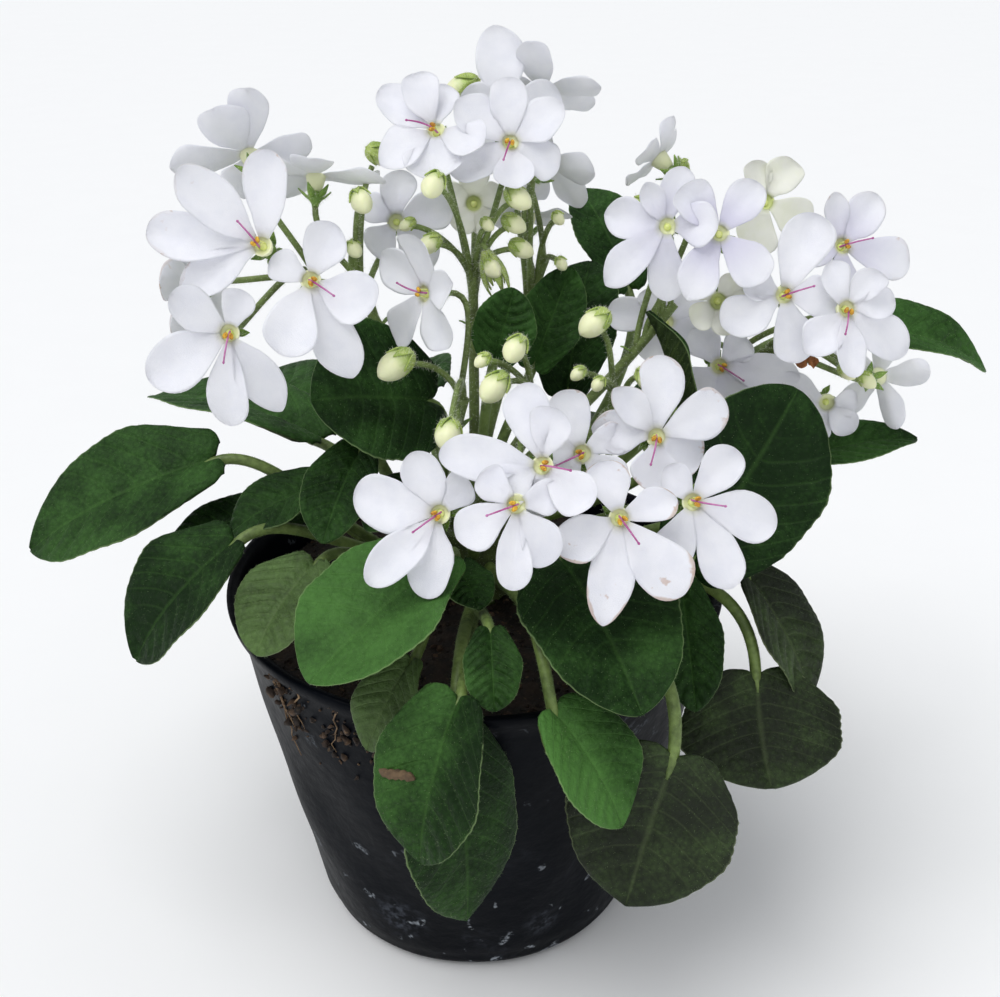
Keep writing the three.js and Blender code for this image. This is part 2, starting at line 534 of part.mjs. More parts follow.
// Sprays: the foot of the stem on the crown's top, the point that the stem bends towards and its end, the
// blooms whose pedicels leave it, and the buds: where each bud's middle is, and its length.
const sprays = {
  left_outer: { foot: [-6.5, -1.3], stem: [[-26, 8, 152], [-44, 2, 198]],
    blooms: ['left_big', 'left_behind', 'left_far', 'left_low'], buds: [] },
  left_inner: { foot: [-5.2, 4.5], stem: [[-14, 12, 155], [-33, 4, 198]],
    blooms: ['left_star', 'left_up', 'left_shaded'],
    buds: [[-24, 10, 228, 7], [-28, -3, 219, 7], [-31, 2, 205, 5]] },
  top: { foot: [0, 3.2], stem: [[0, 12, 155], [0, 8, 196]],
    blooms: ['top_left', 'top_mid', 'top_cream'],
    buds: [[-9, -15, 226, 7], [12, 0, 219, 7], [11, 5, 211, 6], [4, 4, 211, 4], [-17, 4, 211, 4],
      [-11, 0, 207, 6], [13, 6, 204, 6], [5, 2, 200, 6]] },
  top_back: { foot: [0.6, 8], stem: [[6, 20, 158], [20, 24, 196]],
    blooms: ['top_tall', 'top_side', 'top_behind', 'top_low'],
    buds: [[23, 14, 210, 4], [24, 12, 198, 4], [-3, 30, 241, 9]] },
  right_inner: { foot: [5.8, 4.4], stem: [[26, 2, 150], [54, 2, 190]],
    blooms: ['right_left', 'right_curled', 'right_top'],
    buds: [[56, 18, 223, 5], [44, 10, 215, 5]] },
  right_outer: { foot: [7, -1], stem: [[44, 18, 140], [86, 16, 172]],
    blooms: ['right_front', 'right_lower', 'right_violet', 'right_cream', 'right_young', 'right_dim',
      'right_below', 'right_back', 'right_hidden'],
    buds: [[101, -4, 173, 5], [107, -3, 170, 5]] },
  front_left: { foot: [-3.6, -6.5], stem: [[-8, -12, 150], [-2, -16, 170]],
    blooms: ['left_side', 'front_left'], buds: [[-19, -25, 183, 9], [-5, -48, 174, 8]] },
  front_mid: { foot: [1, -4.6], stem: [[8, -20, 150], [18, -28, 174]],
    blooms: ['front_mid', 'front_double', 'front_behind'],
    buds: [[11, -35, 191, 7], [3, -35, 188, 4], [6, -40, 183, 8], [15, -58, 148, 6]] },
  front_right: { foot: [5.2, -7], stem: [[26, -14, 148], [40, -20, 172]],
    blooms: ['front_high', 'front_low', 'front_right'],
    buds: [[31, -22, 193, 8], [27, -26, 181, 4], [32, -28, 179, 4], [44, -27, 180, 6]] },
};
const forkShare = 0.8; // the lowest pedicel leaves the stem at this share of its length

function stemCurve(spray) {
  const foot = vector(...spray.foot, crownTop + gap);
  const [via, fork] = spray.stem.map((place) => vector(...place));
  return new THREE.CubicBezierCurve3(foot, foot.clone().add(vector(0, 0, 14)), via, fork);
}

function pedicelCurve(fork, end, heading) {
  const away = fork.distanceTo(end);
  return new THREE.CubicBezierCurve3(
    fork,
    fork.clone().add(vector(0, 0, away * 0.35)),
    end.clone().addScaledVector(heading, -away * 0.35),
    end,
  );
}

// A pedicel that widens into a cup of five pointed sepals behind its bloom
function bloomPedicel(fork, frame) {
  const end = frame.centre.clone().addScaledVector(frame.face, -calyxDepth);
  const curve = pedicelCurve(fork, end, frame.face);
  const sizes = tapered(pedicelRadius, pedicelRadius * 0.9, 2);
  const { points, faces, last } = rod(curve, sizes, 5, frame.side, true);
  const middle = points.push(bloomPoint(frame, 0, 0, 0, -throatDepth - 1.1)) - 1;
  const clockOf = (j) => 90 - 72 * j;
  for (let j = 0; j < 5; j += 1) {
    points.push(bloomPoint(frame, clockOf(j), 4.2, 0, -throatDepth + 1));
    points.push(bloomPoint(frame, clockOf(j + 0.5), 1.9, 0, -throatDepth - 1.2));
  }
  for (let j = 0; j < 5; j += 1) {
    const peak = middle + 1 + 2 * j;
    const valley = peak + 1;
    const nextPeak = middle + 1 + 2 * ((j + 1) % 5);
    const here = last + j;
    const next = last + ((j + 1) % 5);
    faces.push([here, valley, peak], [here, next, valley], [next, nextPeak, valley]);
    faces.push([middle, peak, valley], [middle, valley, nextPeak]);
  }
  return solidOf(points, faces);
}

// A pedicel that nods and widens into a closed bud
function budPedicel(fork, place, length) {
  const outward = vector(place.x - fork.x, place.y - fork.y, 0).normalize();
  const heading = outward.add(vector(0, 0, -0.5)).normalize();
  const tip = place.clone().addScaledVector(heading, length / 2);
  const away = fork.distanceTo(tip);
  const curve = new THREE.CubicBezierCurve3(
    fork,
    fork.clone().add(vector(0, 0, away * 0.4)),
    tip.clone().addScaledVector(heading, -length - away * 0.1),
    tip,
  );
  const share = length / curve.getLength();
  const sizes = [
    [0, pedicelRadius],
    [(1 - share) * 0.55, pedicelRadius],
    [1 - share, pedicelRadius * 0.9],
    [1 - share * 0.6, length * 0.42],
    [1, length * 0.12],
  ];
  const aside = heading.clone().cross(vector(0, 0, 1)).normalize();
  return rodSolid(curve, sizes, 4, aside, true);
}

function spray(plan) {
  const stem = stemCurve(plan);
  const sizes = tapered(peduncleRadius * 1.1, peduncleRadius * 0.9, 4);
  const pieces = [rodSolid(stem, sizes, 5, vector(1, 0, 0))];
  const count = plan.blooms.length + plan.buds.length;
  const fork = (k) => stem.getPointAt(mix(forkShare, 0.98, k / Math.max(1, count - 1)));
  plan.blooms.forEach((name, k) => pieces.push(bloomPedicel(fork(k), bloomFrame(blooms[name]))));
  plan.buds.forEach(([x, y, z, length], k) => {
    pieces.push(budPedicel(fork(k + plan.blooms.length), vector(x, y, z), length));
  });
  return fused(pieces);
}

// The crown: a short thick stem that the leaf stalks and the spray stems leave
function crown() {
  return rings([
    [crownRadius * 0.8, crownBottom],
    [crownRadius, crownBottom + 6],
    [crownRadius, crownTop - 1],
    [crownRadius * 0.85, crownTop],
  ], crownSides, (radius) => radius);
}

const plant = new THREE.Group();
plant.add(meshOf('pot', pot(), 0x15171c, 0.45));
plant.add(meshOf('soil', soil(), 0x2b2018, 0.95));
plant.add(meshOf('crown', crown(), leafGreen, 0.6));
for (const [name, group] of Object.entries(leafGroups)) {
  const solid = fused(group.leaves.flatMap((leaf, k) => [leafBlade(leaf), leafStalk(leaf, k, group)]));
  plant.add(meshOf(`leaf_${name}`, solid, leafGreen, 0.55));
}
for (const [name, plan] of Object.entries(sprays)) {
  plant.add(meshOf(`spray_${name}`, spray(plan), stemGreen, 0.6));
}
const bloomNodes = Object.groupBy(Object.entries(blooms), ([name, bloom]) => bloom.with ?? name);
for (const [name, members] of Object.entries(bloomNodes)) {
  const solid = fused(members.flatMap(([, bloom]) => (
    'style' in bloom ? [corolla(bloom), stamens(bloom)] : [corolla(bloom)]
  )));
  plant.add(meshOf(`bloom_${name}`, solid, members[0][1].cream ? creamWhite : petalWhite, 0.6));
}

export default plant;
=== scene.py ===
# %% [markdown]
# # A potted African violet
#
# The plant stands in a soft black nursery pot: a rosette of velvety leaves on long stalks, and above it nine
# sprays of white blooms and pale buds. A frame of plain solids already says where each leaf and petal is.
# This lesson gives every one of them its real skin: thin blades with veins, petals with a soft edge, hairs.
# One could sculpt all that by hand. Here each kind of piece is a rule with a few numbers, so that
# thirty-three leaves come from one leaf and thirty-four blooms from one petal.

# %% The frame and the units
from itertools import count

import bpy
import numpy as np
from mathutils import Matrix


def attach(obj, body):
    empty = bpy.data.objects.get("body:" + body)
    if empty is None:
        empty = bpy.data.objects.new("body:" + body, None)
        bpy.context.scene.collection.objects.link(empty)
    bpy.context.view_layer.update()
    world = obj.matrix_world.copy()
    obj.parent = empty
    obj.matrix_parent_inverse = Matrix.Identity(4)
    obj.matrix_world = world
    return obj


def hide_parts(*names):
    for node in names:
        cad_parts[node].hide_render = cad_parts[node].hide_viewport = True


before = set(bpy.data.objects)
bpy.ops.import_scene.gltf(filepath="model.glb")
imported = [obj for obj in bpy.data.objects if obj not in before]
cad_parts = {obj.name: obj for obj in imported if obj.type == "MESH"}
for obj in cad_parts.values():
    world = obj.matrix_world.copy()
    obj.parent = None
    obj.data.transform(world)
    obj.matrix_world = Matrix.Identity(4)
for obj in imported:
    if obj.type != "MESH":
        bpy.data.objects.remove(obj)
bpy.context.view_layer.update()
MM = 0.001  # all the sizes below are in millimetres, and the scene is in metres

# %% [markdown]
# ## The view
#
# The photographer stood a step away and looked down on the blooms, so the camera does the same. A long lens
# further off would make the pot look wider than it does from there.

# %% Camera
LENS = 46.8
SENSOR = 36
CAMERA_PLACE = (7.3, -332.2, 301.7)
LOOK_DOWN = 27  # degrees below the horizon

camera = bpy.data.objects.new("camera", bpy.data.cameras.new("camera"))
camera.data.lens = LENS
camera.data.sensor_width = SENSOR
camera.data.sensor_fit = "HORIZONTAL"
camera.data.clip_start = 0.01
camera.location = [v * MM for v in CAMERA_PLACE]
camera.rotation_euler = (np.radians(90 - LOOK_DOWN), 0, 0)
bpy.context.scene.collection.objects.link(camera)
bpy.context.scene.camera = camera
print("camera", tuple(round(v, 3) for v in camera.location))

# %% [markdown]
# ## Light
#
# White petals lose their form in hard light, and dark leaves lose theirs in dim light. A wide soft light from
# high on the left models both and keeps the floor evenly pale, a lamp from the front opens the shadows, and
# a pale sky fills the rest. The plain view transform keeps the deep greens beside the bright petals.


# %% Lamps and sky
def lamp(name, place, aim, size, watts):
    """A square soft lamp that looks at a point."""
    light = bpy.data.objects.new(name, bpy.data.lights.new(name, "AREA"))
    light.data.size = size * MM
    light.data.energy = watts
    light.location = [v * MM for v in place]
    away = light.location - type(light.location)([v * MM for v in aim])
    light.rotation_euler = away.to_track_quat("Z", "Y").to_euler()
    bpy.context.scene.collection.objects.link(light)
    return light


SUN_STRENGTH, SUN_WIDTH, SUN_TURN = 1.8, 50, (14, -20, 0)  # width and turn in degrees
SKY_COLOUR, SKY_STRENGTH = (0.93, 0.96, 1.0, 1), 0.5
daylight = bpy.data.objects.new("daylight", bpy.data.lights.new("daylight", "SUN"))
daylight.data.energy = SUN_STRENGTH
daylight.data.angle = np.radians(SUN_WIDTH)
daylight.rotation_euler = np.radians(SUN_TURN)
bpy.context.scene.collection.objects.link(daylight)
lamp("front lamp", (200, -900, 380), (0, 0, 110), 500, 0.9)
sky = bpy.data.worlds.new("sky")
sky.use_nodes = True
sky.node_tree.nodes["Background"].inputs["Color"].default_value = SKY_COLOUR
sky.node_tree.nodes["Background"].inputs["Strength"].default_value = SKY_STRENGTH
bpy.context.scene.world = sky
bpy.context.scene.view_settings.view_transform = "Standard"

# %% [markdown]
# ## Writing a finish as a sum
#
# A finish is a tree of small nodes. Drawn by hand it soon becomes a knot, so here a node's output is wrapped
# in a value that knows how to add and multiply: `1 - vein * 0.4` builds its own Math nodes. Colours go
# through a Mix node instead, because a Math node would turn them grey.


# %% Node trees as sums
class Wire:
    """One output of a node, which takes part in sums as a number does."""

    def __init__(self, tree, socket):
        self.tree = tree
        self.socket = socket

    def __add__(self, other):
        return self.tree.math("ADD", self, other)

    __radd__ = __add__

    def __sub__(self, other):
        return self.tree.math("SUBTRACT", self, other)

    def __rsub__(self, other):
        return self.tree.math("SUBTRACT", other, self)

    def __mul__(self, other):
        return self.tree.math("MULTIPLY", self, other)

    __rmul__ = __mul__

    def __pow__(self, other):
        return self.tree.math("POWER", self, other)


class Tree:
    """A node tree that hands out its nodes' outputs as values."""

    def __init__(self, tree):
        self.tree = tree

    def node(self, kind, settings=None, values=None, output=0):
        made = self.tree.nodes.new(kind)
        for name, value in (settings or {}).items():
            setattr(made, name, value)
        for key, value in (values or {}).items():
            wires = [one for one in (value if isinstance(value, list) else [value]) if isinstance(one, Wire)]
            for wire in wires:
                self.tree.links.new(wire.socket, made.inputs[key])
            if not wires:
                made.inputs[key].default_value = value
        return Wire(self, made.outputs[output]) if made.outputs else None

    def math(self, operation, *values):
        return self.node("ShaderNodeMath", {"operation": operation}, dict(enumerate(values)))

    def part(self, vector, axis):
        return self.node("ShaderNodeSeparateXYZ", values={0: vector}, output=axis)


def tone(code):
    """A colour as a painter names it, #rrggbb, in the linear values that a renderer wants."""
    parts = [int(code[i : i + 2], 16) / 255 for i in (1, 3, 5)]
    return [v / 12.92 if v <= 0.04045 else ((v + 0.055) / 1.055) ** 2.4 for v in parts] + [1]


class Finish(Tree):
    """A material, with the few patterns that all the finishes share."""

    def __init__(self, name):
        self.material = bpy.data.materials.new(name)
        self.material.use_nodes = True
        super().__init__(self.material.node_tree)
        self.tree.nodes.clear()
        self.place = self.node("ShaderNodeTexCoord", output=3)

    def noise(self, size, detail=3, distortion=0):
        """Soft clouds, whose lumps are about as wide as the size in millimetres."""
        scale = 1 / (size * MM)
        values = {"Vector": self.place, "Scale": scale, "Detail": detail, "Distortion": distortion}
        return self.node("ShaderNodeTexNoise", values=values)

    def cells(self, size):
        """Cobbles about as wide as the size in millimetres."""
        return self.node("ShaderNodeTexVoronoi", values={"Vector": self.place, "Scale": 1 / (size * MM)})

    def step(self, value, low, high):
        """0 below the low value, 1 above the high one, and a soft rise between them."""
        values = {"Value": value, "From Min": low, "From Max": high}
        return self.node("ShaderNodeMapRange", {"interpolation_type": "SMOOTHSTEP"}, values)

    def blend(self, share, first, second):
        """The first colour where the share is 0 and the second where it is 1."""
        return self.node("ShaderNodeMix", {"data_type": "RGBA"}, {0: share, 6: first, 7: second}, 2)

    def own(self, name, axis=None):
        """A value that the mesh carries on its points."""
        read = self.node("ShaderNodeAttribute", {"attribute_name": name}, output=2 if axis is None else 1)
        return read if axis is None else self.part(read, axis)

    def bump(self, height, depth):
        """Small relief, in millimetres."""
        values = {"Height": height, "Distance": depth * MM, "Strength": 1.0}
        return self.node("ShaderNodeBump", values=values)

    def done(self, **values):
        """The surface itself. Its names are those of the shader, with _ for a space."""
        named = {name.replace("_", " "): value for name, value in values.items()}
        shader = self.node("ShaderNodeBsdfPrincipled", values=named)
        self.node("ShaderNodeOutputMaterial", values={"Surface": shader})
        return self.material


ACROSS, ALONG, EXTRA = 0, 1, 2  # what a point's own "span" says: across the piece, along it, and one more
print("a leaf green is", [round(v, 3) for v in tone("#2c5a2a")])

# %% [markdown]
# ## Leaf finishes
#
# The upper side is a deep green with fresher patches, and each blade is painted lighter or darker as a whole
# and across its two halves: partly its own tone, partly painted light and shade. Its side veins are fine
# lighter lines that run from the midrib to the edge, and the edge itself is a pale line. The underside is a
# dull olive, browner on the old leaves. A picture of a leaf would fit only one of them, so the veins are
# drawn from each blade's own across and along values, the same that shape its relief.

# %% Leaf finishes
VEINS = 7.0  # side veins on each half of a blade
VEIN_SWEEP = 0.42  # how far they run forward on their way to the edge
VEIN_CLOSING = 0.55


def vein_line(finish, width):
    """1 on a side vein or the midrib of a blade, 0 between them."""
    across = finish.math("ABSOLUTE", finish.own("span", ACROSS))
    along = finish.own("span", ALONG)
    phase = (along * 1.15 - across**1.25 * (1 - along * VEIN_CLOSING) * VEIN_SWEEP) * VEINS + 10
    phase = phase + finish.noise(9, 1) * 0.25
    off = finish.math("PINGPONG", phase, 0.5)
    side = (1 - finish.step(off, 0.0, width)) * finish.step(along, 0.9, 0.6)
    midrib = 1 - finish.step(across, 0.0, 0.06)
    return finish.math("MAXIMUM", side * 0.6, midrib)


def leaf_finish(name, deep, fresh_and_lit, vein, edge, veined, gloss):
    """veined is how much the veins show, and gloss how much the skin shines."""
    finish = Finish(name)
    clouds = finish.noise(13, 4)
    speck = finish.noise(0.5, 2)
    line = vein_line(finish, 0.1)
    across = finish.math("ABSOLUTE", finish.own("span", ACROSS))
    pebble = finish.cells(1.5)
    patch = finish.noise(26, 2)
    # The share mixes the blade's tint, which is partly its own tone and partly painted light and shade, with
    # random clouds, patches, specks and pebbles.
    share = finish.own("tint") + (clouds - 0.5) * 0.75 + (patch - 0.5) * 0.5
    share = share + (speck - 0.5) * 0.35 + (pebble - 0.4) * -0.22
    colour = finish.blend(finish.step(share, -0.1, 1.1), tone(deep), tone(fresh_and_lit))
    colour = finish.blend(line * veined, colour, tone(vein))
    colour = finish.blend(finish.step(across, 0.975, 1.0) * 0.38, colour, tone(edge))
    relief = finish.noise(3.2, 3) * 1.3 - pebble * 0.5 - line * 0.35 + finish.noise(0.3, 1) * 0.3
    return finish.done(
        Base_Color=colour,
        Roughness=0.36 + clouds * 0.22 + speck * 0.16,
        Normal=finish.bump(relief, 0.5),
        Sheen_Weight=0.02,
        Sheen_Roughness=0.4,
        Sheen_Tint=tone("#dff0d4"),
        Specular_IOR_Level=gloss,
    )


LEAF_TOP = leaf_finish("leaf top", "#0a2204", "#4a7636", "#6a9a4c", "#9db87c", 0.1, 0.13)
LEAF_UNDER = leaf_finish("leaf underside", "#22301a", "#4c5f30", "#70834a", "#8a9468", 0.3, 0.14)
OLD_TOP = leaf_finish("old leaf top", "#121b08", "#5b7740", "#77895a", "#8f9c72", 0.14, 0.24)
OLD_UNDER = leaf_finish("old leaf underside", "#1c1c0f", "#3f3f22", "#5e6038", "#84805a", 0.2, 0.14)
print("leaf finishes:", [m.name for m in (LEAF_TOP, LEAF_UNDER, OLD_UNDER, OLD_TOP)])

# %% [markdown]
# ## Petal finishes
#
# A petal of this plant is a thin skin full of tiny clear cells, so it glitters a little and lets light
# through. It is white with a breath of lavender in its shade, greener towards the throat, and some have
# brown spots and edges of age. The light that passes through is given by a little subsurface scattering.


# %% Petal finishes
def petal_finish(name, white, shade, throat):
    finish = Finish(name)
    along = finish.own("span", ALONG)
    across = finish.own("span", ACROSS)
    clouds = finish.noise(7, 3)
    colour = finish.blend(finish.step(clouds, 0.35, 0.75) * 0.6, tone(white), tone(shade))
    colour = finish.blend(finish.own("tint") * finish.step(along, 0.95, 0.05), colour, tone("#b4abda"))
    colour = finish.blend(finish.step(along, 0.1, -0.12), colour, tone(throat))
    spots = finish.step(finish.noise(2.6, 4), 0.58, 0.72) * finish.own("span", EXTRA)
    edge = finish.step(along * 0.6 + across * across * 0.5 + finish.noise(5, 2) * 0.5, 1.0, 1.2)
    aged = spots * finish.step(along, 0.35, 0.8) + edge * finish.own("span", EXTRA)
    colour = finish.blend(finish.step(aged, 0.15, 0.9) * 0.7, colour, tone("#b98a62"))
    own = finish.node("ShaderNodeAttribute", {"attribute_name": "span"}, output=1)
    streak = {"Vector": own, "Scale": 7.0, "Distortion": 1.5, "Detail": 2.0}
    streak = finish.node("ShaderNodeTexWave", {"bands_direction": "X"}, streak)
    relief = streak * 0.35 + finish.cells(0.28) * 0.5 + finish.noise(2.2, 2) * 0.8
    return finish.done(
        Base_Color=colour,
        Roughness=0.45 + clouds * 0.15,
        Normal=finish.bump(relief, 0.09),
        Subsurface_Weight=0.35,
        Subsurface_Radius=(1.0, 1.0, 0.9),
        Subsurface_Scale=0.0015,
        Sheen_Weight=0.15,
        Sheen_Roughness=0.4,
    )


WHITE_PETAL = petal_finish("white petal", "#f6f6fd", "#e6e7f2", "#eef2b4")
CREAM_PETAL = petal_finish("cream petal", "#f8f8ea", "#edf0d0", "#d3e07e")
print("petal finishes:", WHITE_PETAL.name, CREAM_PETAL.name)

# %% [markdown]
# ## Stems, buds, hairs and the small parts of a bloom
#
# Stems and sepals are a soft green in two tones. Buds are cream with green at their foot. The hairs are
# clear glassy threads, which read as pale ones. The pair of anthers is yellow with brown flecks and the
# style is magenta.


# %% Stem, bud, hair, anther and style
def soft_finish(name, first, second, size, rough, light=0.1, depth=0.08):
    """Two tones in clouds and flecks, with a fine grain: the finish of all the small juicy parts."""
    finish = Finish(name)
    clouds = finish.noise(size, 4)
    flecks = finish.noise(size / 8, 2)
    colour = finish.blend(finish.step(clouds * 0.7 + flecks * 0.3, 0.35, 0.65), tone(first), tone(second))
    return finish.done(
        Base_Color=colour,
        Roughness=rough + flecks * 0.2,
        Normal=finish.bump(flecks + finish.cells(size / 10) * 0.5, depth),
        Subsurface_Weight=light,
        Subsurface_Radius=(0.8, 1.0, 0.4),
        Subsurface_Scale=0.001,
    )


STEM = soft_finish("stem", "#7d9150", "#5c6b38", 9, 0.42)
STALK = soft_finish("leaf stalk", "#768c48", "#4b5d29", 12, 0.45)
SEPAL = soft_finish("sepal", "#8cab4c", "#5f8030", 3, 0.45)
BRACT = soft_finish("bract", "#bccd74", "#90a94c", 2.5, 0.5, 0.2)
ANTHER = soft_finish("anther", "#f0c338", "#a8641c", 0.9, 0.5)
STYLE = soft_finish("style", "#a63c86", "#c57fb2", 4, 0.35)
THREAD = soft_finish("filament", "#eef2a6", "#d3df7c", 2, 0.4)
HAIR = soft_finish("hair", "#f4f6e8", "#dfe6cc", 3, 0.3, 0.2)
BLADE_HAIR = soft_finish("blade hair", "#8fa874", "#5d7c48", 3, 0.4, 0.1)
CROWN = soft_finish("crown", "#55642f", "#3b4522", 6, 0.6)
DRY = soft_finish("dry petal", "#b5763f", "#7c4a24", 2.5, 0.6, 0.05, 0.2)


def bud_finish():
    """Cream folded petals, which turn green at the bud's foot."""
    finish = Finish("bud")
    clouds = finish.noise(2.2, 3)
    share = finish.own("span", ALONG) + (clouds - 0.5) * 0.35
    colour = finish.blend(finish.step(share, 0.6, 0.12), tone("#eff1c6"), tone("#aec466"))
    return finish.done(
        Base_Color=colour,
        Roughness=0.36 + clouds * 0.15,
        Normal=finish.bump(finish.noise(0.9, 2) + clouds, 0.07),
        Subsurface_Weight=0.35,
        Subsurface_Radius=(0.9, 1.0, 0.6),
        Subsurface_Scale=0.0012,
    )


BUD = bud_finish()
print("small finishes:", len(bpy.data.materials), "materials so far")

# %% [markdown]
# ## Pot and soil finishes
#
# The pot is thin satin plastic, almost black with a touch of blue. Watering has left dust and pale splashes
# on it, most of them low down, and its wall is never quite even. The soil is dark and damp with browner bits.


# %% Pot and soil
# place and radius of the dusty spots
SMUDGES = ((-48, -16, 8, 14), (20, -50, 19, 8), (-22, -49, 21, 12), (50, -20, 22, 12))


def pot_finish():
    finish = Finish("nursery pot plastic")
    height = finish.part(finish.place, 2)
    low = finish.step(height, 0.075, 0.0)
    dust = finish.step(finish.noise(16, 6, 0.6), 0.52, 0.85) * (0.12 + low * 0.5)
    fine = finish.step(finish.noise(2.2, 5), 0.42, 0.7)
    splash = finish.step(finish.noise(7, 2, 0.4), 0.64, 0.7) * finish.step(finish.noise(1.0, 4), 0.4, 0.62)
    for x, y, z, radius in SMUDGES:
        ends = {0: finish.place, 1: (x * MM, y * MM, z * MM)}
        away = finish.node("ShaderNodeVectorMath", {"operation": "DISTANCE"}, ends, 1)
        dust = dust + finish.step(away, radius * MM, 0.0) * 1.3
    film = finish.math("MINIMUM", dust * fine * 0.6, 0.85)
    colour = finish.blend(finish.noise(30, 2), tone("#010307"), tone("#040810"))
    colour = finish.blend(film, colour, tone("#50545c"))
    colour = finish.blend(splash * (0.25 + low * 0.75), colour, tone("#8f959c"))
    relief = finish.noise(6, 3) + finish.noise(0.8, 2) * 0.08
    return finish.done(
        Base_Color=colour,
        Roughness=0.36 + film * 0.6 + finish.noise(3, 3) * 0.18 + splash * 0.3,
        Normal=finish.bump(relief, 0.35),
        Specular_IOR_Level=0.05,
    )


def soil_finish(name, first, second, third):
    finish = Finish(name)
    lumps = finish.noise(4, 6)
    colour = finish.blend(finish.step(lumps, 0.35, 0.65), tone(first), tone(second))
    colour = finish.blend(finish.step(finish.noise(1.6, 3), 0.62, 0.7) * 0.7, colour, tone(third))
    relief = lumps + finish.cells(1.2) * 0.6
    return finish.done(Base_Color=colour, Roughness=0.75 + lumps * 0.25, Normal=finish.bump(relief, 0.6))


POT = pot_finish()
SOIL = soil_finish("potting soil", "#15100c", "#2e231b", "#55432f")
CRUMB = soil_finish("soil crumb", "#2c2018", "#54402e", "#7a6248")
DRY_CRUMB = soil_finish("dry crumb", "#453627", "#6c573f", "#92795a")
ROOT = soft_finish("root", "#8a7052", "#54402c", 4, 0.7, 0.0, 0.1)
print("materials:", len(bpy.data.materials))

# %% [markdown]
# ## From rows of points to pieces
#
# Every thin part of the plant is a closed sheet: a front, a back and a narrow wall between them, all from one
# grid of points. Every round part is a tube along a path. Both could be made with modifiers, but a grid of
# numbers keeps each leaf in the few rules that shape it, and it carries the across and along values that the
# finishes read.


# %% Sheets, tubes and turned shapes
class Form:
    """Points and faces with their finishes, gathered until they become one mesh."""

    def __init__(self):
        self.points, self.faces, self.finishes = [], [], []
        self.span, self.tint, self.fuzz = [], [], []
        self.count = 0

    def add(self, points, faces, finishes, span=None, tint=0.0, fuzz=0.0):
        """finishes is one material, or one for each face."""
        points = np.asarray(points, float).reshape(-1, 3)
        self.points.append(points)
        self.faces += [tuple(int(v) + self.count for v in face) for face in faces]
        self.finishes += finishes if isinstance(finishes, list) else [finishes] * len(faces)
        self.span.append(np.zeros_like(points) if span is None else np.asarray(span, float).reshape(-1, 3))
        self.tint.append(np.broadcast_to(tint, len(points)))
        self.fuzz.append(np.broadcast_to(fuzz, len(points)))
        self.count += len(points)

    def piece(self, name):
        """The mesh as an object at the origin, in metres."""
        mesh = bpy.data.meshes.new(name)
        mesh.from_pydata((np.concatenate(self.points) * MM).tolist(), [], self.faces)
        used = list(dict.fromkeys(self.finishes))
        for material in used:
            mesh.materials.append(material)
        order = {material: i for i, material in enumerate(used)}
        mesh.polygons.foreach_set("material_index", [order[material] for material in self.finishes])
        mesh.polygons.foreach_set("use_smooth", [True] * len(self.faces))
        span = mesh.attributes.new("span", "FLOAT_VECTOR", "POINT")
        span.data.foreach_set("vector", np.concatenate(self.span).ravel())
        for key, values in (("tint", self.tint), ("fuzz", self.fuzz)):
            mesh.attributes.new(key, "FLOAT", "POINT").data.foreach_set("value", np.concatenate(values))
        mesh.update()
        made = bpy.data.objects.new(name, mesh)
        bpy.context.scene.collection.objects.link(made)
        return made


def sheet_faces(rows, columns):
    """The quads of a closed sheet: its front, its back and the wall between their edges."""
    grid = np.arange(rows * columns).reshape(rows, columns)
    corners = (grid[:-1, :-1], grid[:-1, 1:], grid[1:, 1:], grid[1:, :-1])
    front = np.stack(corners, -1).reshape(-1, 4)
    back = front[:, ::-1] + rows * columns
    rim = np.concatenate([grid[0], grid[1:, -1], grid[-1, -2::-1], grid[-2:0:-1, 0]])
    after = np.roll(rim, -1)
    wall = np.stack([after, rim, rim + rows * columns, after + rows * columns], -1)
    return front, back, wall


def add_sheet(form, front, back, front_finish, back_finish, span, tint=0.0, fuzz=0.0):
    """A closed sheet from two grids of points of the same size."""
    rows, columns = front.shape[:2]
    faces = sheet_faces(rows, columns)
    finishes = [front_finish] * len(faces[0]) + [back_finish] * len(faces[1]) + [front_finish] * len(faces[2])
    twice = np.concatenate([span.reshape(-1, 3)] * 2)
    fuzz, tint = (v if np.isscalar(v) else np.concatenate([v.ravel()] * 2) for v in (fuzz, tint))
    points = np.concatenate([front.reshape(-1, 3), back.reshape(-1, 3)])
    form.add(points, np.concatenate(faces), finishes, twice, tint, fuzz)


def unit(vector):
    return np.asarray(vector, float) / np.linalg.norm(vector)


def headings(path):
    """The way that a path runs at each of its points."""
    steps = np.gradient(path, axis=0)
    return steps / np.linalg.norm(steps, axis=1)[:, None]


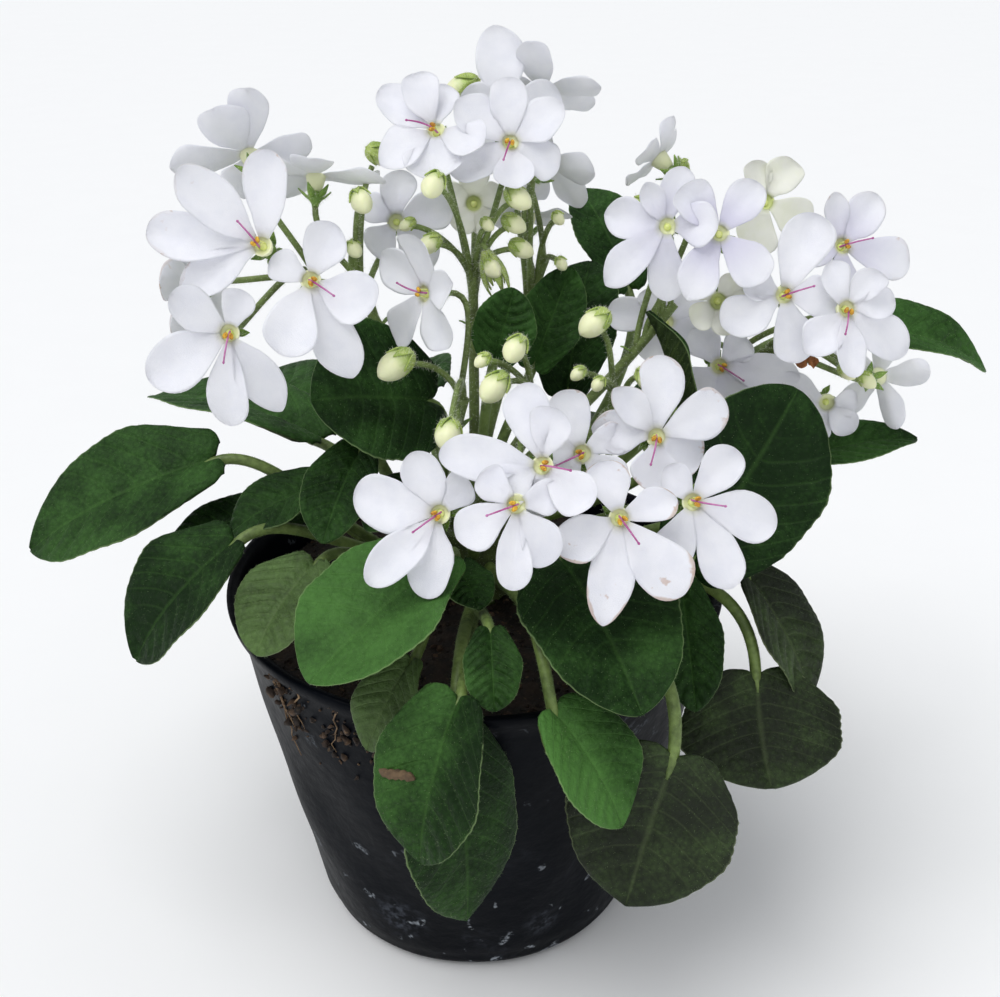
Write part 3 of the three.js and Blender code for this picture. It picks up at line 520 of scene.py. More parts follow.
def add_tube(form, path, radii, sides, finish, tint=0.0, fuzz=0.0, lobes=None):
    """A closed tube along a path. lobes is how many shallow folds run along it, and how deep they are."""
    path = np.asarray(path, float)
    tangents = headings(path)
    across = np.cross(tangents[0], [0.2, 0.9, 0.37])
    turn = np.linspace(0, 2 * np.pi, sides, endpoint=False)
    swell = 1 if lobes is None else 1 + lobes[1] * np.cos(lobes[0] * turn)
    rings = []
    for place, tangent, radius in zip(path, tangents, radii):
        across = unit(across - np.dot(across, tangent) * tangent)
        other = np.cross(tangent, across)
        ring = np.outer(np.cos(turn) * swell, across) + np.outer(np.sin(turn) * swell, other)
        rings.append(place + radius * ring)
    points = np.concatenate([*rings, path[:1], path[-1:]])
    start = np.arange(sides)
    after = np.roll(start, -1)
    faces = []
    for i in range(len(path) - 1):
        a, b = start + i * sides, after + i * sides
        faces += np.stack([a, b, b + sides, a + sides], -1).tolist()
    foot, top = len(path) * sides, len(path) * sides + 1
    last = (len(path) - 1) * sides
    faces += [(foot, b, a) for a, b in zip(start, after)]
    faces += [(top, a + last, b + last) for a, b in zip(start, after)]
    span = np.zeros((len(points), 3))
    span[:, ALONG] = [*np.repeat(np.linspace(0, 1, len(path)), sides), 0, 1]
    form.add(points, faces, finish, span, tint, fuzz)


def bezier(points, share):
    """Places on a Bezier curve of three or four points."""
    points = [np.asarray(p, float) for p in points]
    share = np.asarray(share, float)[:, None]
    while len(points) > 1:
        points = [a * (1 - share) + b * share for a, b in zip(points, points[1:])]
    return points[0]


def curve_places(points, shares):
    """Places at shares of a Bezier curve's length."""
    fine = bezier(points, np.linspace(0, 1, 160))
    lengths = np.concatenate([[0], np.cumsum(np.linalg.norm(np.diff(fine, axis=0), axis=1))])
    return np.stack([np.interp(np.asarray(shares) * lengths[-1], lengths, fine[:, k]) for k in range(3)], -1)


def smooth(value, low, high):
    """0 below the low value, 1 above the high one, and a soft rise between them."""
    share = np.clip((np.asarray(value, float) - low) / (high - low), 0, 1)
    return share * share * (3 - 2 * share)


def mix(first, second, share):
    return first + (second - first) * share


print("a sheet of 3 by 4 points has", sum(len(f) for f in sheet_faces(3, 4)), "faces")

# %% [markdown]
# ## Hairs
#
# All of the green plant is covered with fine pale hairs, longer on the stems and denser on sepals and leaf
# edges. They are too many to place by hand, so a Geometry Nodes tree scatters them: points on the skin and
# on each a thin three-sided spike, leant a little at random. The "fuzz" value says where they are dense.


# %% The hair tree
def scatter_tree(name, sockets):
    """An empty Geometry Nodes tree with its named inputs, and its inputs as values."""
    tree = Tree(bpy.data.node_groups.new(name, "GeometryNodeTree"))
    face = tree.tree.interface
    face.new_socket(name="Geometry", in_out="INPUT", socket_type="NodeSocketGeometry")
    for key, kind in sockets.items():
        face.new_socket(name=key, in_out="INPUT", socket_type=f"NodeSocket{kind}")
    face.new_socket(name="Geometry", in_out="OUTPUT", socket_type="NodeSocketGeometry")
    given = tree.tree.nodes.new("NodeGroupInput")
    return tree, {s.name: Wire(tree, s) for s in given.outputs if s.name}


def scattered(tree, given, shape, spread, low, high):
    """Shapes on points of the skin, where its fuzz allows, leant and scaled at random, as a mesh."""
    fuzz = tree.node("GeometryNodeInputNamedAttribute", {"data_type": "FLOAT"}, {"Name": "fuzz"})
    scatter = {"Mesh": given["Geometry"], "Density": given["Density"] * fuzz, "Seed": given["Seed"]}
    points = tree.node("GeometryNodeDistributePointsOnFaces", values=scatter)
    turn = Wire(tree, points.socket.node.outputs["Rotation"])
    vector = {"data_type": "FLOAT_VECTOR"}
    lean = tree.node("FunctionNodeRandomValue", vector, {0: [-spread] * 3, 1: [spread] * 3})
    lean = tree.node("FunctionNodeEulerToRotation", values={0: lean})
    turn = tree.node("FunctionNodeRotateRotation", {"rotation_space": "LOCAL"}, {0: turn, 1: lean})
    size = tree.node("FunctionNodeRandomValue", vector, {0: low, 1: high})
    values = {"Points": points, "Instance": shape, "Rotation": turn, "Scale": size}
    shapes = tree.node("GeometryNodeInstanceOnPoints", values=values)
    shapes = tree.node("GeometryNodeRealizeInstances", values={"Geometry": shapes})
    shapes = tree.node("GeometryNodeSetMaterial", values={"Geometry": shapes, "Material": given["Finish"]})
    both = tree.node("GeometryNodeJoinGeometry", values={"Geometry": [given["Geometry"], shapes]})
    tree.node("NodeGroupOutput", values={"Geometry": both})
    return tree.tree


sockets = {"Density": "Float", "Length": "Float", "Thickness": "Float", "Seed": "Int", "Finish": "Material"}
tree, given = scatter_tree("fine hairs", sockets)
spike = {"Vertices": 3, "Radius Top": 0.0, "Radius Bottom": given["Thickness"], "Depth": given["Length"]}
spike = tree.node("GeometryNodeMeshCone", values=spike)
HAIRS = scattered(tree, given, spike, 0.45, [0.8, 0.8, 0.5], [1.2, 1.2, 1.2])


def grown(made, tree, values):
    """The piece with what a tree grows on it, as one plain mesh."""
    modifier = made.modifiers.new(tree.name, "NODES")
    modifier.node_group = tree
    for item in tree.interface.items_tree:
        if item.in_out == "INPUT" and item.name in values:
            modifier[item.identifier] = values[item.name]
    scene = bpy.context.evaluated_depsgraph_get()
    mesh = bpy.data.meshes.new_from_object(made.evaluated_get(scene), depsgraph=scene)
    made.modifiers.clear()
    made.data = mesh
    return made


hair_seeds = count(101)


def haired(made, density, length, thickness=0.035, finish=HAIR):
    """Hairs on a piece: how many there are on a square centimetre, and their size in millimetres."""
    values = {"Density": density * 1e4, "Length": length * MM, "Thickness": thickness * MM}
    return grown(made, HAIRS, {**values, "Seed": next(hair_seeds), "Finish": finish})


total = {"faces": 0, "pieces": 0}


def place_piece(made, nodes):
    """The piece rides with the plant, stands for its plain solids, which it hides, and its triangles are
    counted.
    """
    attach(made, "root")
    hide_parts(*nodes)
    made.data.calc_loop_triangles()
    total["faces"] += len(made.data.loop_triangles)
    total["pieces"] += 1
    return made


print("hair tree:", len(HAIRS.nodes), "nodes")

# %% [markdown]
# ## The pot
#
# A nursery pot is blown or drawn from a thin sheet: a straight taper, a rounded foot, a thin rim, and dents
# where it has been squeezed. A lathe shape follows the same waves as the plain solid, with finer dents added.

# %% Pot
POT_HEIGHT, POT_TOP, POT_BASE = 108, 71, 50
POT_WALL, POT_FLOOR, POT_EDGE, POT_DENT = 1.2, 2, 5, 1.6
POT_SIDES = 144


def pot_radius(height):
    return mix(POT_BASE, POT_TOP, height / POT_HEIGHT)


def dented(radius, height, turn):
    """The radius of a soft wall, which bends in and out round the pot."""
    share = np.clip(height / POT_HEIGHT, 0, 1)
    fade = np.sin(np.pi * share) ** 0.7
    wave = np.sin(3 * turn + 0.8) + 0.6 * np.sin(5 * turn + height / 22) + 0.4 * np.sin(2 * turn)
    fine = 0.35 * np.sin(9 * turn + height / 9) + 0.3 * np.sin(13 * turn - height / 13 + 1)
    return radius + (POT_DENT * fade * wave + fade * fine) * min(1, radius / POT_BASE)


def turned(levels, sides):
    """A shape of revolution from pairs of radius and height, dented as the wall is."""
    turn = np.linspace(0, 2 * np.pi, sides, endpoint=False)
    rings = []
    for radius, height in levels:
        out = dented(radius, height, turn)
        rings.append(np.stack([out * np.cos(turn), out * np.sin(turn), np.full(sides, float(height))], -1))
    return np.concatenate(rings)


def turned_faces(rings, sides):
    """The faces between the rings, and from the first and the last ring to two middle points after them."""
    start = np.arange(sides)
    after = np.roll(start, -1)
    quad = np.stack([start, after, after + sides, start + sides], -1)
    faces = np.concatenate([quad + i * sides for i in range(rings - 1)]).tolist()
    middle, last = rings * sides, (rings - 1) * sides
    for one, following in zip(start, after):
        faces += [(middle, following, one), (middle + 1, last + one, last + following)]
    return faces


def pot_levels():
    """The pot's outline, from the middle of the underside round the foot, up to the rim and down inside."""
    foot = [(POT_BASE - POT_EDGE + POT_EDGE * np.sin(a), POT_EDGE - POT_EDGE * np.cos(a))
            for a in np.linspace(0, np.pi / 2, 7)]
    wall = [(pot_radius(h), h) for h in np.linspace(POT_EDGE + 3, POT_HEIGHT - 6, 34)]
    rim = [(POT_TOP + 0.9, POT_HEIGHT - 3), (POT_TOP + 1.4, POT_HEIGHT - 0.7), (POT_TOP + 1.1, POT_HEIGHT),
           (POT_TOP - 0.2, POT_HEIGHT), (POT_TOP - POT_WALL - 0.4, POT_HEIGHT - 0.8)]
    inside = [(pot_radius(h) - POT_WALL, h) for h in np.linspace(POT_HEIGHT - 4, POT_EDGE + 3, 16)]
    floor = [(POT_BASE - POT_EDGE - 1, POT_FLOOR + 0.8), (20, POT_FLOOR)]
    return [(20, 0), *foot, *wall, *rim, *inside, *floor]


levels = pot_levels()
form = Form()
points = np.concatenate([turned(levels, POT_SIDES), [[0, 0, 0], [0, 0, POT_FLOOR]]])
form.add(points, turned_faces(len(levels), POT_SIDES), POT)
pot = place_piece(form.piece("nursery_pot"), ["pot"])
print("pot:", len(pot.data.polygons), "faces")

# %% [markdown]
# ## The soil
#
# The soil is a low mound that was pressed round the plant, so its top is lumpy with crumbs of many sizes. The
# mound is a lathe shape pushed up and down by a few waves, and a second Geometry Nodes tree strews crumbs
# on it. A sculpted heap would look no better from between the leaves.

# %% Soil and crumbs
SOIL_LEVEL, SOIL_MOUND, CROWN_RADIUS = 97, 7, 11
SOIL_INSET = POT_WALL + 0.45
SOIL_SIDES = 120
SOIL_FOOT, SOIL_CORE = POT_FLOOR + 0.3, 84  # the lowest soil, and the bottom of the hole for the crown


def soil_top(x, y):
    """The lumpy height of the soil, beside its mean mound."""
    waves = np.sin(x / 5.1 + 1) * np.cos(y / 4.3) + 0.6 * np.sin(x / 2.3 + y / 3.1)
    return 0.8 * (waves + 0.4 * np.cos(y / 1.7 - x / 2.9))


def soil_form():
    walls = [(pot_radius(h) - SOIL_INSET, h) for h in (POT_HEIGHT * 0.36, POT_HEIGHT * 0.68)]
    below = [(POT_BASE - POT_EDGE - 1, SOIL_FOOT), *walls]
    edge = pot_radius(SOIL_LEVEL) - SOIL_INSET - 1
    radii = np.linspace(edge, CROWN_RADIUS + 0.4, 40)
    share = (edge - radii) / (edge - CROWN_RADIUS - 6)
    top = [(r, SOIL_LEVEL + SOIL_MOUND * smooth(s, 0, 1)) for r, s in zip(radii, share)]
    levels = [*below, *top, (CROWN_RADIUS + 0.4, SOIL_CORE)]
    points = turned(levels, SOIL_SIDES)
    is_top = np.zeros(len(points))
    is_top[len(below) * SOIL_SIDES : (len(below) + len(top)) * SOIL_SIDES] = 1
    x, y = points[:, 0], points[:, 1]
    points[:, 2] += np.where(np.hypot(x, y) < edge - 1.5, soil_top(x, y), 0) * is_top
    points = np.concatenate([points, [[0, 0, SOIL_FOOT], [0, 0, SOIL_CORE]]])
    form = Form()
    fuzz = np.concatenate([is_top, [0, 0]])
    form.add(points, turned_faces(len(levels), SOIL_SIDES), SOIL, fuzz=fuzz)
    return form


sockets = {"Density": "Float", "Size": "Float", "Seed": "Int", "Finish": "Material"}
tree, given = scatter_tree("crumbs", sockets)
lump = tree.node("GeometryNodeMeshIcoSphere", values={"Radius": given["Size"], "Subdivisions": 1})
CRUMBS = scattered(tree, given, lump, 3.1, [0.4, 0.3, 0.25], [1.3, 1.0, 0.8])
soil = soil_form().piece("potting_soil")
grown(soil, CRUMBS, {"Density": 7e4, "Size": 1.1 * MM, "Seed": 3, "Finish": SOIL})
grown(soil, CRUMBS, {"Density": 1.4e4, "Size": 1.5 * MM, "Seed": 4, "Finish": CRUMB})
place_piece(soil, ["soil"])
print("soil:", len(soil.data.polygons), "faces")

# %% [markdown]
# Where the pot was watered over its left rim, a few roots and crumbs stick to the wall. They are placed by
# azimuth and height on the same dented wall, most of them near the rim.

# %% Roots and crumbs on the rim


def wall_point(azimuth, height, off=0.0):
    """A place on the pot's outside. The azimuth runs from the front towards the right."""
    turn = np.radians(azimuth - 90)
    radius = dented(pot_radius(height), height, turn) + off
    return np.array([radius * np.cos(turn), radius * np.sin(turn), height])


def add_crumb(form, place, size, finish, chance):
    """A lump of a few faces."""
    axis = unit(chance.normal(size=3))
    bend = chance.normal(0, 0.18, (4, 3)) * size
    path = [place + axis * size * s + b for s, b in zip((-0.6, -0.25, 0.15, 0.6), bend)]
    add_tube(form, path, np.array([0.15, 0.5, 0.4, 0.12]) * size * chance.uniform(0.6, 1.3, 4), 5, finish)


# azimuth, height and length of each root
HANGING_ROOTS = ((-50, 101, 26), (-46, 104, 18), (-38, 106, 16), (-27, 107, 20), (-22, 106, 14))
RIM_CRUMBS = 150
chance = np.random.default_rng(7)
form = Form()
for azimuth, height, length in HANGING_ROOTS:
    drops = np.linspace(0, 1, 9)
    sway = np.cumsum(chance.uniform(-1.6, 1.6, 9))
    path = [wall_point(azimuth + w, height - length * s, 0.35) for s, w in zip(drops, sway)]
    add_tube(form, path, np.linspace(0.38, 0.14, 9) * chance.uniform(0.7, 1.1), 6, ROOT)
for _ in range(RIM_CRUMBS):
    azimuth = chance.choice([-48, -43, -31, -22]) + chance.normal(0, 3.5)
    height = POT_HEIGHT - 3 - abs(chance.normal(0, 11))
    size = 0.5 + 1.9 * chance.uniform(0, 1) ** 2.5
    finish = CRUMB if chance.uniform() < 0.7 else SOIL
    add_crumb(form, wall_point(azimuth, height, 0.2 * size), size, finish, chance)
rim_roots = form.piece("rim_roots")
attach(rim_roots, "root")
print("rim roots:", len(rim_roots.data.polygons), "faces")

# %% [markdown]
# ## Leaves
#
# A leaf is a heart-shaped blade on a round stalk. Its midrib is arched, its edges are raised a little, the
# fields between the veins are puffed up, and the edge has shallow teeth. Each of those is one term in
# the rule below, so a crinkled leaf only has a larger puff. The list says where each joint and tip is.

# %% The list of leaves
LOW, MID, TOP = 109, 115, 121  # the heights on the crown that the stalks leave


def leaf(joint, tip, width, turn, arch, cup, point, fresh_and_lit=0.3, puff=0.75, old=False, painted_half_light=0.0, bow=0.3):
    """width across the blade, turn about the midrib, arch of the midrib, cup of the edges, how pointed the
    tip is, how light its green is painted (partly its own fresher tone, partly painted light and shade where
    it sits), how much the fields between the veins puff up, whether it has grown dull, how much lighter one
    half is painted than the other (painted light and shade across the midrib), and how far before the joint
    its stalk bends."""
    return dict(joint=np.array(joint, float), tip=np.array(tip, float), width=width, turn=turn, arch=arch,
                cup=cup, point=point, fresh_and_lit=fresh_and_lit, puff=puff, old=old, painted_half_light=painted_half_light, bow=bow)


# The eighth number of each leaf paints its green lighter or darker: partly the leaf's own tone, partly
# painted light and shade where it sits.
LEAVES = {
    "left_long": ((-90, LOW), [leaf((-76, 0, 144), (-128, -6, 119), 38, -28, 5, 2, 0.5, 0.35),
        leaf((-50, -6, 131), (-86, -10, 125), 20, -15, 2, 1, 0.4, 0.15)]),
    "left_back": ((-112, MID), [leaf((-48, 16, 145), (-101, 42, 147), 36, 5, 5, 2, 0.4, 0.4)]),
    "left_low": ((-67, MID), [leaf((-64, -33, 135), (-89, -46, 108), 33, -12, 4, 3, 0.3, 0.08, 0.6),
        leaf((-42, -14, 144), (-66, -24, 134), 21, -10, 2, 1, 0.3, 0.2)]),
    "crinkled": ((-45, LOW), [leaf((-41, -42, 134), (-54, -60, 119), 25, 0, 3, 2, 0.1, 0.6, 1.1, True)]),
    "front_left": ((-22, MID), [leaf((-9, -52, 141), (-38, -79, 124), 37, -6, 2, 3, 0.2, 0.7, 0.35),
        leaf((-3, -47, 137), (2, -61, 133), 13, 0, 1, 1, 0.1, 0.3),
        leaf((-15, -67, 121), (-25, -79, 104), 18, 0, 2, 1, 0.2, 0.5, 0.4, True)]),
    "round_left": ((-45, TOP), [leaf((-12, -8, 166), (-41, -24, 173), 42, -42, 3, 3, 0.1, 0.15, 0.7),
        leaf((-30, -22, 157), (-38, -42, 141), 20, -6, 2, 2, 0.3, 0.2)]),
    "heart_left": ((0, TOP), [leaf((-8, -22, 147), (-27, -40, 144), 20, -8, 2, 2, 0.2, 0.3)]),
    "front_hanging": ((0, LOW),
        # One half of this blade is painted darker than the other, as painted shade across its fold.
        [leaf((-3, -84, 121), (-12, -97, 85), 32, 4, 3, 2, 0.3, 0.25, 0.6, painted_half_light=0.2, bow=0.08),
        leaf((-3, -79, 105), (-1, -82, 51), 33, 0, 2, -2, 0.5, 0.1, 0.35),
        leaf((5, -71, 132.5), (6, -83, 118.5), 14, 0, 1, 1, 0.1, 0.35, bow=0.1)]),
    "front_round": ((22, MID), [leaf((23, -42, 136), (41, -82, 117), 39, 6, 5, 3, 0.1, 0.15, 0.6),
        # One half of this blade is painted lighter than the other, as a painted highlight.
        leaf((21, -77, 113), (37, -89, 89), 27, 6, 3, 2, 0.5, 0.8, 0.5, painted_half_light=0.35)]),
    "right_hanging": ((45, LOW),
        [leaf((50, -75, 97), (39, -86, 60), 44, -35, -3, -2, 0.3, 0.12, 0.4, True)]),
    "right_dark": ((45, TOP), [leaf((55, -40, 126), (58, -58, 100), 18, 12, 2, 1, 0.3, 0.15)]),
    "right_low": ((90, LOW), [leaf((77, -20, 117), (95, -32, 85), 27, 4, 3, 2, 0.5, 0.16, 0.6, True),
        leaf((78, -36, 95), (80, -58, 75), 46, 0, -2, -2, 0.2, 0.08, 0.4, True)]),
    "right_broad": ((67, MID), [leaf((60, -26, 128), (86, -14, 172), 42, 64, 3, 3, 0.0, 0.05, 0.3)]),
    "right_point": ((112, MID), [leaf((90, 6, 141), (130, 16, 144), 20, 14, 3, 2, 0.8, 0.35)]),
    "right_far": ((112, TOP), [leaf((108, 26, 174), (153, 32, 159), 22, 24, 6, 3, 0.7, 0.5, 0.8),
        leaf((56, -8, 163), (46, -4, 190), 16, 20, 2, 5, 0.8, 0.25)]),
    "back_strip": ((135, TOP), [leaf((46, 52, 180), (32, 76, 203), 22, -14, 4, 3, 0.5, 0.3),
        leaf((27, 17, 160), (34, 42, 190), 25, 0, 4, 3, 0.1, 0.1)]),
    "centre_up": ((2, -0.6), [leaf((6, -5, 177), (11, -3, 196), 17, 70, 1, 2, 0.2, 0.5),
        leaf((17, 6, 172), (27, 16, 196), 18, 40, 2, 3, 0.4, 0.35)]),
    "rear_long": ((-157, MID), [leaf((-20, 66, 138), (-38, 112, 124), 38, 0, 5, 3, 0.3)]),
    "rear_left": ((-135, LOW), [leaf((-50, 50, 142), (-84, 78, 132), 34, 0, 5, 3, 0.4)]),
    "rear_right": ((135, LOW), [leaf((58, 56, 138), (92, 84, 124), 36, 0, 5, 3, 0.3)]),
    "rear_low": ((180, LOW), [leaf((24, 80, 122), (34, 118, 96), 34, 0, 4, 3, 0.4)]),
}
UPRIGHT = "centre_up"  # its stalks leave the top of the crown, so its numbers are X and Y there
print("leaves:", sum(len(leaves) for _, leaves in LEAVES.values()), "in", len(LEAVES), "groups")


# %% The blade's rule
LEAF_ROWS, LEAF_COLUMNS = 54, 27
LEAF_SINUS = 0.1  # how far the lobes reach back past the joint
LEAF_TEETH, LEAF_TOOTH = 14, 0.009  # how many teeth, and how deep as a share of the width
LEAF_FOLD = 0.13  # how steeply the two halves rise from the midrib
LEAF_WAVER = 0.025  # how unsteady the outline is
LEAF_GROOVE, LEAF_RIPPLE, LEAF_ROLL = 0.55, 0.55, 0.5  # depth of the midrib's groove, edge waves, rolled edge
LEAF_RIB, LEAF_VEIN = 0.9, 0.22  # how far midrib and side veins stand out below
STALK_RADIUS, STALK_STEPS = 2, 34
STALK_END = ((0.03, 1.25), (0.06, 0.95), (0.09, 0.6), (0.12, 0.3))  # share of the blade's length, and radius
LEAF_HAIRS = (75, 0.55, 0.032, BLADE_HAIR)  # on a square centimetre, length, thickness and finish
CROWN_TOP = 125
GAP = 0.3


def leaf_spread(along, point):
    """Half the blade's width at a share of its length, as a share of the widest."""
    low = mix(0.56, 1, np.sin(np.pi / 2 * np.clip(along / 0.42, 0, 1)))
    out = np.clip((along - 0.42) / 0.58, 0, 1)
    high = (1 - out ** mix(2.4, 1.5, point)) ** mix(0.6, 0.85, point)
    return np.where(along < 0.42, low, high)


def leaf_frame(blade):
    axis = blade["tip"] - blade["joint"]
    length = np.linalg.norm(axis)
    axis = axis / length
    side = unit(np.cross(axis, [0, 0, 1]))
    angle = np.radians(blade["turn"])
    side = side * np.cos(angle) + np.cross(axis, side) * np.sin(angle)
    return axis, length, side, np.cross(side, axis)


def add_blade(form, blade, chance):
    axis, length, side, face = leaf_frame(blade)
    steps = np.linspace(0, 1, LEAF_ROWS)
    row = (1 - (1 - steps) ** 1.6) * 0.997
    column = np.linspace(-1, 1, LEAF_COLUMNS)
    column = mix(column, np.sin(column * np.pi / 2), 0.6)
    along, across = np.meshgrid(row, column, indexing="ij")
    far = np.abs(across)
    half = blade["width"] / 2
    # outline: lobes at the base, rounded corners there, shallow teeth all round
    lobes = LEAF_SINUS * np.sqrt(1 - (2 * far - 1) ** 2)
    teeth = np.sin(2 * np.pi * LEAF_TEETH * along + chance.uniform(0, 6))
    tooth = 1 + LEAF_TOOTH * far**8 * teeth * smooth(along, 0, 0.1)
    waver = 1 + LEAF_WAVER * far**4 * np.sin(2 * np.pi * along * 2.3 + chance.uniform(0, 6) + across)
    reach = (along - lobes * (1 - along) ** 2) * length
    spread = across * leaf_spread(along, blade["point"]) * half * tooth * waver
    # relief: the arch and the cup of the plain solid, puffed fields between the veins, a sunk midrib
    cup = blade["cup"] * across**2 * np.sin(np.pi * mix(0.2, 0.9, along))
    rise = blade["arch"] * 4 * along * (1 - along) + cup
    phase = (along * 1.15 - far**1.25 * (1 - along * VEIN_CLOSING) * VEIN_SWEEP) * VEINS
    field = np.abs(np.sin(np.pi * phase)) ** 0.6
    calm = (1 - far**5) * smooth(far, 0.0, 0.2) * smooth(1 - along, 0, 0.15)
    puff = blade["puff"] * (field - 0.5) * calm * 1.6
    groove = -LEAF_GROOVE * np.exp(-((spread / 1.1) ** 2)) * (1 - along) ** 0.5
    swing = np.sin(2 * np.pi * (along * 1.6 + chance.uniform(0, 1)) + np.sign(across) * 0.8)
    ripple = LEAF_RIPPLE * far**2 * swing
    rolled = -LEAF_ROLL * far**9
    fold = LEAF_FOLD * (np.abs(spread) - 0.45 * half * smooth(along, 0.05, 0.45)) * (1 - 0.4 * along)
    base = rise + puff + ripple + rolled + fold
    thick = mix(0.48, 0.16, far**3) * mix(1, 0.5, along**2)
    rib = LEAF_RIB * np.exp(-((spread / 1.0) ** 2)) * (1 - along) ** 0.8
    vein = LEAF_VEIN * (1 - field) * calm
    frame_point = blade["joint"] + reach[..., None] * axis + spread[..., None] * side
    front = frame_point + (base + thick + groove)[..., None] * face
    back = frame_point + (base - thick - rib - vein)[..., None] * face
    span = np.stack([across, along, np.zeros_like(along)], -1)
    fuzz = 0.35 + 1.6 * smooth(far, 0.93, 1) + 0.6 * smooth(along, 0.9, 1)
    top, under = (OLD_TOP, OLD_UNDER) if blade["old"] else (LEAF_TOP, LEAF_UNDER)
    # The half term paints one half of the blade lighter and the other darker, as painted light and shade
    # across the midrib, fading out near the tip.
    tint = blade["fresh_and_lit"] + blade["painted_half_light"] * np.tanh(across * 2) * smooth(1 - along, 0, 0.3)
    add_sheet(form, front, back, top, under, span, tint, fuzz)


def add_stalk(form, blade, start, out):
    """The stalk: it rises from the crown, comes over the rim if the leaf hangs, and runs into the midrib."""
    axis, length, _, face = leaf_frame(blade)
    joint = blade["joint"]
    away = np.linalg.norm(joint - start)
    over = joint[2] < POT_HEIGHT + 10
    rise = np.array([0, 0, 0.36 * away if over else 0])
    bend = joint - axis * away * (0.2 if over else blade["bow"]) + rise
    steps = np.linspace(0, 1, STALK_STEPS)
    path = curve_places([start, start + out * 0.3 * away, bend, joint], steps)
    path = path - np.outer(smooth(steps, 0.7, 1) * 1.3, face)
    end = [joint + axis * length * s - face * (1.25 - 2 * s) for s, _ in STALK_END]
    radii = np.linspace(STALK_RADIUS, STALK_RADIUS * 0.8, STALK_STEPS)
    radii = np.concatenate([radii, [radius for _, radius in STALK_END]])
    radii = radii * (0.74 + 0.24 * min(1, blade["width"] / 42))
    add_tube(form, np.concatenate([path, end]), radii, 12, STALK, fuzz=1.6)


chance = np.random.default_rng(11)
for name, (root, blades) in LEAVES.items():
    form = Form()
    for k, blade in enumerate(blades):
        if name == UPRIGHT:
            start, out = np.array([*root, CROWN_TOP + GAP]), np.array([0, 0, 1.0])
        else:
            azimuth = np.radians(root[0])
            out = np.array([np.sin(azimuth), -np.cos(azimuth), 0])
            start = out * (CROWN_RADIUS + GAP + 0.15 * k) + [0, 0, root[1] + 0.8 * k]
        add_blade(form, blade, chance)
        add_stalk(form, blade, start, out)
    made = haired(form.piece(f"{name}_leaves"), *LEAF_HAIRS)
    place_piece(made, [f"leaf_{name}"])
print("leaves and hairs:", total)

# %% [markdown]
# One brown crumb lies on the heart-shaped leaf in front. It is a short lumpy tube that follows the blade.

# %% The crumb on the front leaf
blade = LEAVES["front_hanging"][1][0]
axis, length, side, face = leaf_frame(blade)
path = []
for step in np.linspace(-1, 1, 13):
    aside = 0.55 + 0.31 * step
    down = length * (0.49 + 0.03 * aside) + 0.5 * np.sin(2.6 * step)
    place = blade["joint"] + axis * down + side * aside * blade["width"] / 2
    path.append(place + face * (3.8 + 1.8 * aside**2))
radii = np.array([0.3, 0.9, 1.25, 0.95, 1.3, 1.05, 1.4, 1.1, 1.35, 1.0, 1.15, 0.8, 0.25])
form = Form()
add_tube(form, path, radii, 9, DRY_CRUMB, lobes=(4, 0.14))
leaf_crumb = form.piece("leaf_crumb")
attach(leaf_crumb, "root")
print("leaf crumb at", [round(v, 1) for v in path[6]])

# %% [markdown]
# ## Blooms
#
# The petals join in a short tube, the upper ones often smaller. In the throat stand two yellow anthers, and
# the style leans out to one side. The list gives each bloom's throat, the way it faces and its petals as
# they are seen, because in a real plant no two blooms are alike. A clock angle of 0 is up, 90 to the right.

# %% The list of blooms


def bloom(at, face, petals, style=None, beside=None, cream=False, aged=0.15, violet=0.0):
    """petals: clock angle, length, width and forward lean of each."""
    return dict(at=np.array(at, float), face=face, petals=petals, style=style, beside=beside, cream=cream,
                aged=aged, violet=violet)


